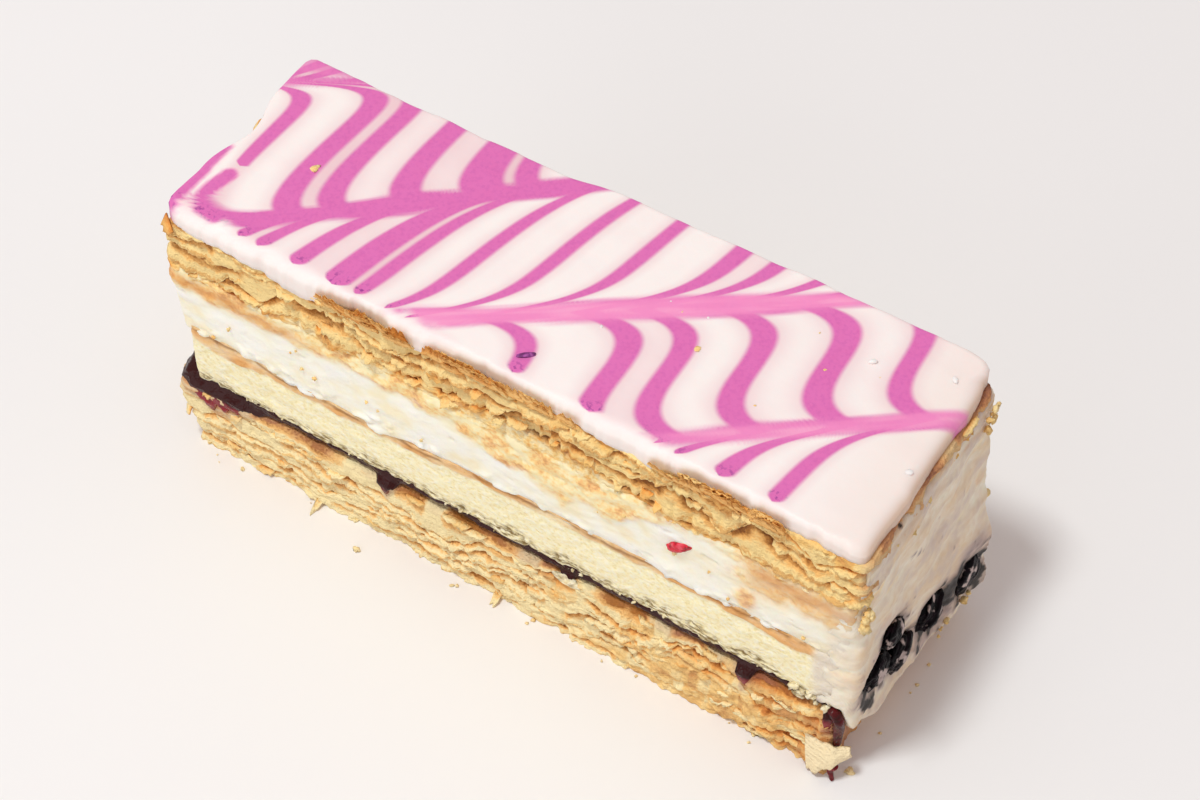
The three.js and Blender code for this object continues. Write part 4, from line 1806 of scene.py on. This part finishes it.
@dataclass
class Fruit:
    """The blueberries in the end's cream and the bit of red fruit in the front's."""

    cream: CreamFilling
    skin: BerryFinish = BerryFinish("blueberry_skin", roughness=0.3, specular=0.1)
    flesh: BlotchedFinish = BlotchedFinish("red_fruit_flesh", roughness=0.25)
    flatness: float = 0.5
    proud: float = 0.7
    reach: float = 69.0

    def build(self) -> None:
        """Builds and dresses every piece of fruit."""
        for number, (y, z, radius) in enumerate(BERRIES, 1):
            face = self.cream.face(np.array([y]), np.array([z]))
            depth = self.flatness * radius
            place = Matrix.Translation((min(float(face[0]) + self.proud, self.reach) - depth, y, z))
            stretch = place @ Matrix.Diagonal((depth * 1.1, radius * 1.08, radius * 1.05, 1))
            piece = ball(f"berry_{number}", 700 + number, stretch, 0.28)
            dress(Slot.BERRY, self.skin, piece, number=number)
        low, high = (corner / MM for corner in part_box("red_fruit_piece"))
        middle, half = (low + high) / 2, (high - low) / 2
        place = Matrix.Translation(middle) @ Matrix.Rotation(-0.62, 4, "Y")
        stretch = place @ Matrix.Diagonal((2.8, half.y, 1.1, 1))
        dress(Slot.RED_FRUIT, self.flesh, ball("red_fruit_bit", 720, stretch, 0.2))


@dataclass(frozen=True)
class CombStroke:
    """One stroke of the comb that feathers the icing, drawn slantwise across it.

    axis is where it crosses the slice's middle line and slant its angle to X. pull is how far it
    drags the icing, above 0 for strokes drawn to the right. far and near are how quickly that
    fades behind and before it, and fall how sharply. rib, rib_width and rib_depth are how strong,
    wide and deeply pink its own line is. hook is how far its start at the left edge is bent back.
    """

    axis: float
    slant: float
    pull: float
    far: float
    near: float
    fall: float
    rib: float = 1.0
    rib_width: float = 1.2
    rib_depth: float = 0.5
    hook: float = 0.0


# Lines of pink piped across the slice, from the start to the end.
PIPED = (
    *((-61.6, 2.9), (-51.9, 3.4), (-46.9, 3.2), (-38.8, 3.6), (-30.5, 5.0), (-25.5, 2.8), (-16.6, 2.7)),
    *((-6.5, 2.6), (3.9, 2.6), (15.7, 3.3), (22.2, 3.0), (31.3, 3.2), (40.9, 3.5), (50.0, 2.8)),
)


@dataclass
class IcingSheet:
    """Poured icing with a round shoulder, whose edge hangs over the pastry."""

    low: float
    high: float
    finish: IcingFinish = IcingFinish(
        "poured_sugar_icing", 0.5, specular=0.35, scatter=0.25, scatter_mm=(1.6, 1.0, 0.9), lines=PIPED
    )
    dried: BlotchedFinish = BlotchedFinish(
        "dried_pink_icing", 0.5, stops=((0.35, "#5A1C54"), (0.52, "#7E2F78"), (0.68, "#B455A6"))
    )
    strokes: tuple[CombStroke, ...] = (
        CombStroke(-84.6, 33.2, -24.6, 14.5, 1.15, 0.8, 0.9, 1.3, 0.8),
        CombStroke(-32.9, 41.35, 11.9, 4.35, 2.7, 0.65, 1.2, 1.9, 1.2, 2.75),
        CombStroke(8.7, 36.0, -14.1, 2.4, 4.1, 1.17, 0.95, 1.9, 0.15),
        CombStroke(51.5, 37.9, 11.3, 4.7, 1.9, 1.14, 0.92, 1.6, 0.3),
    )
    lean: float = 0.13
    outline: Outline = Outline(corner=2.4)
    seed: int = 501
    top_rows: int = 44
    ink_end: float = -20.2
    # The tail that the first line leaves at the corner.
    tail: tuple[Pair, ...] = (
        *((-60.7, -9.9), (-61.5, -13.4), (-61.5, -16.6), (-60.0, -18.2), (-57.0, -18.6)),
    )
    # Where the edge hangs lower along the front: place along X, half width and drop.
    drips: tuple[Triple, ...] = ((-39.5, 6.5, 1.5), (-16, 6.5, 0.9), (24, 6, 0.7))
    # Stretches of the front where the pastry's flakes stand over the edge.
    bare: tuple[Pair, ...] = ((-34, -21), (-11, 12), (30, 44), (46, 63))
    bubbles: tuple[Strewn, ...] = (
        Strewn((47.2, 12.0, 60.4), (47.4, 12.2, 60.5), 1, (1.3, 1.4), 0.5),
        Strewn((59.7, 15.7, 60.4), (59.9, 15.9, 60.5), 1, (1.5, 1.6), 0.5),
        Strewn((62.0, -4.0, 60.3), (62.2, -3.8, 60.4), 1, (1.0, 1.1), 0.5),
        Strewn((-20, -6, 60.3), (40, 12, 60.4), 3, (0.4, 0.7), 0.5),
    )

    def build(self) -> None:
        """Builds and dresses the sheet, its bubbles and the dried fleck that lies on it."""
        dress(Slot.ICING, self.finish, self.sheet())
        plain = dict.fromkeys(self.finish.reads, 0.0) | {"combed": -200.0}
        bubbles = Lumps(
            "icing_bubbles", Slot.ICING, self.finish, self.bubbles, seed=61, traits=plain, ragged=0.06
        )
        bubbles.build()
        fold = Matrix.Translation((1.2, -15.8, 60.45)) @ Matrix.Rotation(0.75, 4, "Z")
        fleck = ball("icing_fleck", 91, fold @ Matrix.Diagonal((1.5, 0.45, 0.22, 1)), wrinkle=0.3)
        dress(Slot.ICING, self.dried, fleck)

    def uncovered(self, walk: Walk) -> Array:
        """1 where the pastry's flakes stand over the edge, 0 where the icing covers it."""
        return sum(bump(walk.x, (a + b) / 2, (b - a) / 1.9) for a, b in self.bare) * walk.front

    def hang(self, walk: Walk) -> Array:
        """Works out how far the edge hangs below the pastry's top.

        Args:
            walk: The places round the icing.

        Returns:
            The drop at each place.
        """
        front = 0.45 + sum(drop * bump(walk.x, at, half) for at, half, drop in self.drips)
        front = front - 0.35 * self.uncovered(walk)
        wave = walk.rough(0, (9, 1), self.seed)
        fine = walk.rough(0, (2.4, 1), self.seed + 1)
        return walk.front * front + (1 - walk.front) * 0.5 + 0.45 * np.clip(wave, 0, 1) + 0.12 * fine

    def reach(self, walk: Walk) -> Array:
        """Works out how far the icing's edge stands out.

        Args:
            walk: The places round the icing.

        Returns:
            The distance at each place.
        """
        end = -0.3 - 0.8 * bump(walk.y, 21, 4)
        start = 0.5 - 2.4 * bump(walk.y, 0.5, 5.5)
        back = back_edge(walk.x) - 1.4 * bump(walk.x, 64.5, 3)
        front = 0.5 - 0.5 * bump(walk.x, -65.5, 2.5)
        front = front - 0.7 * self.uncovered(walk)
        front = front + 0.3 * walk.rough(0, (1.7, 1), self.seed + 3)
        wave = walk.rough(0, (7, 1), self.seed + 2)
        sides = walk.end * end + walk.start * start + walk.back * back + walk.front * front
        return sides + 0.22 * wave

    def comb(self, x: Array, y: Array) -> tuple[Array, Array, Array]:
        """Works out where the comb has dragged each place of the icing from.

        Args:
            x: Places along the slice.
            y: Places across it.

        Returns:
            The place along X that the icing there was piped at, how strongly a stroke of the comb
            itself shows there, and how deep a pink that stroke has.
        """
        combed, rib, deep = x - self.lean * y, 0 * x, 0 * x
        for number, stroke in enumerate(self.strokes):
            slant = math.radians(stroke.slant)
            across = y * math.cos(slant) - (x - stroke.axis) * math.sin(slant)
            across = across - stroke.hook * np.exp(-(x + 58.2) / 3.6)
            begun = 1 - (stroke.hook > 0) * smooth(-x, 58, 62.5)
            fade = np.where(across > 0, stroke.far, stroke.near)
            dragged = stroke.pull * np.exp(-((np.abs(across) / fade) ** stroke.fall))
            combed = combed - dragged * math.cos(slant)
            along = x * math.cos(slant) + y * math.sin(slant)
            streak = rough(along, across, (11, 0.8), self.seed + 40 + number)
            width = stroke.rib_width * (1 + 0.25 * grain(along, 0 * along, (13, 1), 60 + number))
            shown = stroke.rib * smooth(width - np.abs(across) + 0.35 * streak, -0.8, 0.7)
            shown = shown * (1 + 0.15 * streak) * smooth(begun, 0.1, 0.5)
            rim = 0.45 * bump(np.abs(across), width, 0.5)
            deep = np.where(shown > rib, stroke.rib_depth + 0.25 * streak + rim, deep)
            rib = np.maximum(rib, shown)
        return combed, np.clip(rib, 0, 1), np.clip(deep, 0, 1)

    def section(self, walk: Walk) -> list[Array]:
        """Draws the sheet's section: from underneath, round its lip and shoulder to the middle.

        Args:
            walk: The places round the icing.

        Returns:
            How far out and how high each row runs, and the share that it is drawn in.
        """
        out, lip = self.reach(walk), self.low - self.hang(walk)
        none = 0 * out
        bare = np.clip(self.uncovered(walk), 0, 1)
        tall = 0.9 + (1.2 - 1.0 * bare) * walk.front + 0.9 * walk.end
        deep = 0.8 + (1.9 - 1.9 * bare) * walk.front + 1.9 * walk.end
        rise = self.high - tall
        rows = [(out - 2.0, self.low + none, none + drawn) for drawn in (1.0, 0.12)]
        rows.append((out - 0.9, np.minimum(lip + 0.5, self.low), none))
        rows += [(out + by, lip + up, none) for by, up in ((-0.45, 0.06), (-0.15, 0.0), (0.05, 0.15))]
        for share in (0.4, 0.8):
            rows.append((out, lip + 0.15 + share * np.clip(rise - lip - 0.15, 0, 9), none))
        drawn = none
        for turn in np.linspace(0, math.pi / 2, 11)[1:]:
            drawn = deep * (1 - math.cos(turn)) / self.outline.back
            start = np.maximum(rise, lip + 0.2)
            rows.append((out, start + (self.high - start) * math.sin(turn), drawn))
        for share in np.linspace(0, 1, self.top_rows)[1:]:
            rows.append((out, self.high + none, drawn + (1 - drawn) * float(share)))
        return [np.stack(values) for values in zip(*rows)]

    def sheet(self) -> Piece:
        """Builds the sheet, with a slight ripple on its top.

        Returns:
            The piece.
        """
        walk = self.outline.walk()
        points = ring_points(walk, *self.section(walk))
        x, y, z = np.moveaxis(points, -1, 0)
        ripple = 0.16 * rough(x, y, (17, 13), self.seed + 5) - 0.1
        points[..., 2] = np.where(z > self.high - 1.3, np.minimum(z + ripple, self.high), z)
        return skin("feathered_icing_sheet", points, self.feathering(walk, points))

    def feathering(self, walk: Walk, points: Array) -> Traits:
        """Works out how pink the sheet is at every vertex.

        Args:
            walk: The places round the icing.
            points: Its vertices, rows by columns by 3.

        Returns:
            What the finish reads.
        """
        x, y, z = np.moveaxis(points, -1, 0)
        combed, rib, deep = self.comb(x, y)
        ragged = 0.5 * rough(x, y, (1.6, 1.6), self.seed + 6)
        # The lines thin out and stop before the front edge, and one is lost at the left.
        past = np.clip((self.ink_end + 1.6 - y - 0.3 * ragged) / 1.6, 0, 1)
        lost = smooth(-x, 54.5, 56.5) * smooth(-y, 6.6, 8.2)
        pinch = 3.4 * (1 - np.sqrt(1 - past**2)) + 3 * lost
        inked = smooth(z, self.low - 0.5, self.low + 1.2)
        dotted = bump(y, self.ink_end + 1.0, 1.7) * (0.8 + 0.4 * rough(x, y, (9, 9), 78))
        rib = rib * smooth(y + 1.5 * ragged, self.ink_end - 0.2, self.ink_end + 2.5)
        # Pink along the left edge and in the far left corner, and the tail at the near one.
        edge_line = smooth(0.3 * ragged - 63.8 - x, -0.4, 0.5) * smooth(-y, 3.5, 5)
        corner = 0.75 * smooth(y - 0.35 * (x + 64), 15.6, 17.4) * smooth(-x, 53, 57)
        near = np.full(x.shape, 99.0)
        for start, end in zip(self.tail, self.tail[1:]):
            step = np.array(end) - start
            share = ((x - start[0]) * step[0] + (y - start[1]) * step[1]) / (step @ step)
            share = np.clip(share, 0, 1)
            near = np.minimum(near, np.hypot(x - start[0] - share * step[0], y - start[1] - share * step[1]))
        tail = smooth(1.45 + 0.2 * ragged - near, -0.35, 0.45)
        edge_line = np.max([edge_line, corner, tail], axis=0)
        rib = np.maximum(rib, edge_line * smooth(y, -21.4, -20.2))
        deep = np.maximum(deep, edge_line)
        halo = [bump(combed, place, width * 0.95) for place, width in self.finish.lines]
        between = np.clip(np.sum(halo, axis=0) - 0.15, 0, 1)
        tint = 0.8 * between + 0.25 * rib + 0.1 * rough(x, y, (12, 9), 77)
        blush = np.clip(tint * smooth(y, -21.5, -18), 0, 1)
        # Painted shade on the shoulders, most on the shaded end; pastry shows through the thin front edge.
        sunk = self.high - z
        sheer_and_shade = 0.12 * smooth(sunk, 0.6, 2.4) * walk.front + 0.9 * smooth(sunk, 0.2, 1.6) * walk.end
        sheer_and_shade = np.clip(sheer_and_shade + 0.22 * smooth(x, 48, 63), 0, 1)
        return dict(zip(self.finish.reads, (combed, pinch, inked, dotted, deep, blush, sheer_and_shade, rib)))


# ---------- the studio ----------
@dataclass(frozen=True)
class Studio:
    """The camera, the pale table and the soft lights."""

    azimuth: float = 30.85
    elevation: float = 51.31
    roll: float = 1.42
    distance: float = 463.0
    focal_px: float = 2764.31
    image_width: int = 1200
    aim: Triple = (-0.5, 0.0, 29.92)
    shift: Pair = (4.95, 0.96)
    sensor: float = 36.0

    def camera(self) -> None:
        """Sets up the camera, a little rolled, as the slice was looked at."""
        turn, lift, roll = (math.radians(a) for a in (self.azimuth, self.elevation, self.roll))
        level = Vector((math.cos(turn), math.sin(turn), 0))
        flat = math.cos(lift)
        back = Vector((math.sin(turn) * flat, -math.cos(turn) * flat, math.sin(lift)))
        upright = back.cross(level)
        right = math.cos(roll) * level + math.sin(roll) * upright
        up = math.cos(roll) * upright - math.sin(roll) * level
        target = Vector(self.aim) + self.shift[0] * right + self.shift[1] * up
        data = bpy.data.cameras.new("camera")
        data.sensor_width = self.sensor
        data.lens = self.focal_px / self.image_width * self.sensor
        data.clip_start, data.clip_end = 0.01, 20.0
        camera = link("camera", data)
        turned = Matrix((right, up, back)).transposed().to_4x4()
        camera.matrix_world = Matrix.Translation((target + back * self.distance) * MM) @ turned
        bpy.context.scene.camera = camera

    def light(self, name: str, place: Vector, size: float, power: float, colour: str) -> None:
        """Adds a square soft light that faces the slice.

        Args:
            name: Its name.
            place: Where it is, in millimetres.
            size: Its width, in millimetres.
            power: In watts.
            colour: As sRGB hex.
        """
        data = bpy.data.lights.new(name, "AREA")
        data.size = size * MM
        data.energy = power
        data.color = linear(colour)[:3]
        lamp = link(name, data)
        lamp.location = place * MM
        lamp.rotation_mode = "QUATERNION"
        lamp.rotation_quaternion = (place - Vector((0, 0, 30))).to_track_quat("Z", "Y")

    def build(self) -> None:
        """Builds the whole studio."""
        self.camera()
        self.light("key", Vector((-225, -450, 1500)), 240, 13.2, "#F8FEFF")
        self.light("front_fill", Vector((-430, -1500, 560)), 1100, 3.75, "#F9FBFF")
        world = bpy.data.worlds.new("soft_room")
        world.use_nodes = True
        bpy.context.scene.world = world
        world.node_tree.nodes.clear()
        glow = add(world.node_tree, "Background", {"Color": "#FBF0F0", "Strength": 0.54})
        add(world.node_tree, "OutputWorld", {"Surface": glow})
        work = bmesh.new()
        bmesh.ops.create_grid(work, x_segments=4, y_segments=4, size=3.0)
        mesh, _ = settled(work, "table")
        table = link("table", mesh)
        drift = ((0.3, "#EFEDEB"), (0.7, "#F3F1EF"))
        satin = BlotchedFinish("satin_white_table", roughness=0.45, blotch_mm=160, detail=1, stops=drift)
        mesh.materials.append(satin.material())
        bpy.context.scene.view_settings.view_transform = "Standard"


# ---------- the whole slice ----------
# Crumbs that have fallen round the foot, and those that stick to the icing, cream and berries.
FALLEN = (
    Strewn((-27.8, -27.5, 0.1), (-27.0, -26.8, 0.2), 1, (1.0, 1.2)),
    Strewn((66.6, -21, 0.2), (67.4, -20, 0.4), 2, (1.0, 1.5)),
    Strewn((-62, -24.5, 0.1), (62, -22.5, 0.2), 14, (0.3, 0.8)),
    Strewn((66, -16, 0.1), (70, 14, 0.2), 4, (0.3, 0.8)),
)
STUCK = (
    Strewn((-49.7, -1.3, 60.3), (-49.5, -1.1, 60.4), 1, (1.5, 1.6), 0.5),
    Strewn((22.8, -0.4, 60.3), (23.0, -0.2, 60.4), 1, (1.3, 1.4), 0.5),
    Strewn((-50, -14, 60.2), (62, 16, 60.3), 9, (0.3, 0.7), 0.6),
    Strewn((31, -20.4, 60.0), (35, -18.4, 60.2), 5, (0.4, 0.9), 0.6),
    Strewn((-60, -21.7, 32), (58, -21.3, 41), 16, (0.3, 0.8), 1.0),
    Strewn((65.6, 17, 49), (66.2, 21.5, 54), 9, (0.6, 1.6), 1.0),
    Strewn((65.4, -21.6, 42.0), (66.0, -20.0, 47.0), 16, (0.7, 1.7), 1.2),
    Strewn((66.6, 20.4, 30.5), (66.9, 21.0, 31.5), 2, (1.2, 1.6)),
    Strewn((69.0, 13.4, 10.4), (69.4, 14.8, 11.6), 4, (0.8, 1.5)),
    Strewn((68.2, 5.5, 9.2), (68.8, 9.5, 10.6), 6, (0.6, 1.2)),
)


def main() -> None:
    """Builds every piece of the slice in order, then the studio round it."""
    logging.basicConfig(level=logging.INFO, format="%(name)s: %(message)s")
    levels = Levels.from_frame()
    base = BaseSheet(0.0, levels.base_top)
    base.build()
    JamLayer(levels.base_top, levels.sponge).build()
    SpongeLayer(levels.sponge, levels.cream).build()
    cream = CreamFilling(levels.cream, levels.lid)
    cream.build()
    lid = LidSheet(levels.lid, levels.icing)
    lid.build()
    flaky = {"relief": 0.7, "tone": 0.3, "soaked": 0.2, "stain": 0.0}
    Lumps("fallen_crumbs", Slot.BASE, base.finish, FALLEN, seed=47, traits=flaky).build()
    Lumps("stuck_crumbs", Slot.LID, lid.finish, STUCK, seed=53, traits=flaky | {"soaked": 0.5}).build()
    IcingSheet(levels.icing, levels.top).build()
    Fruit(cream).build()
    Studio().build()


if __name__ == "__main__":
    main()
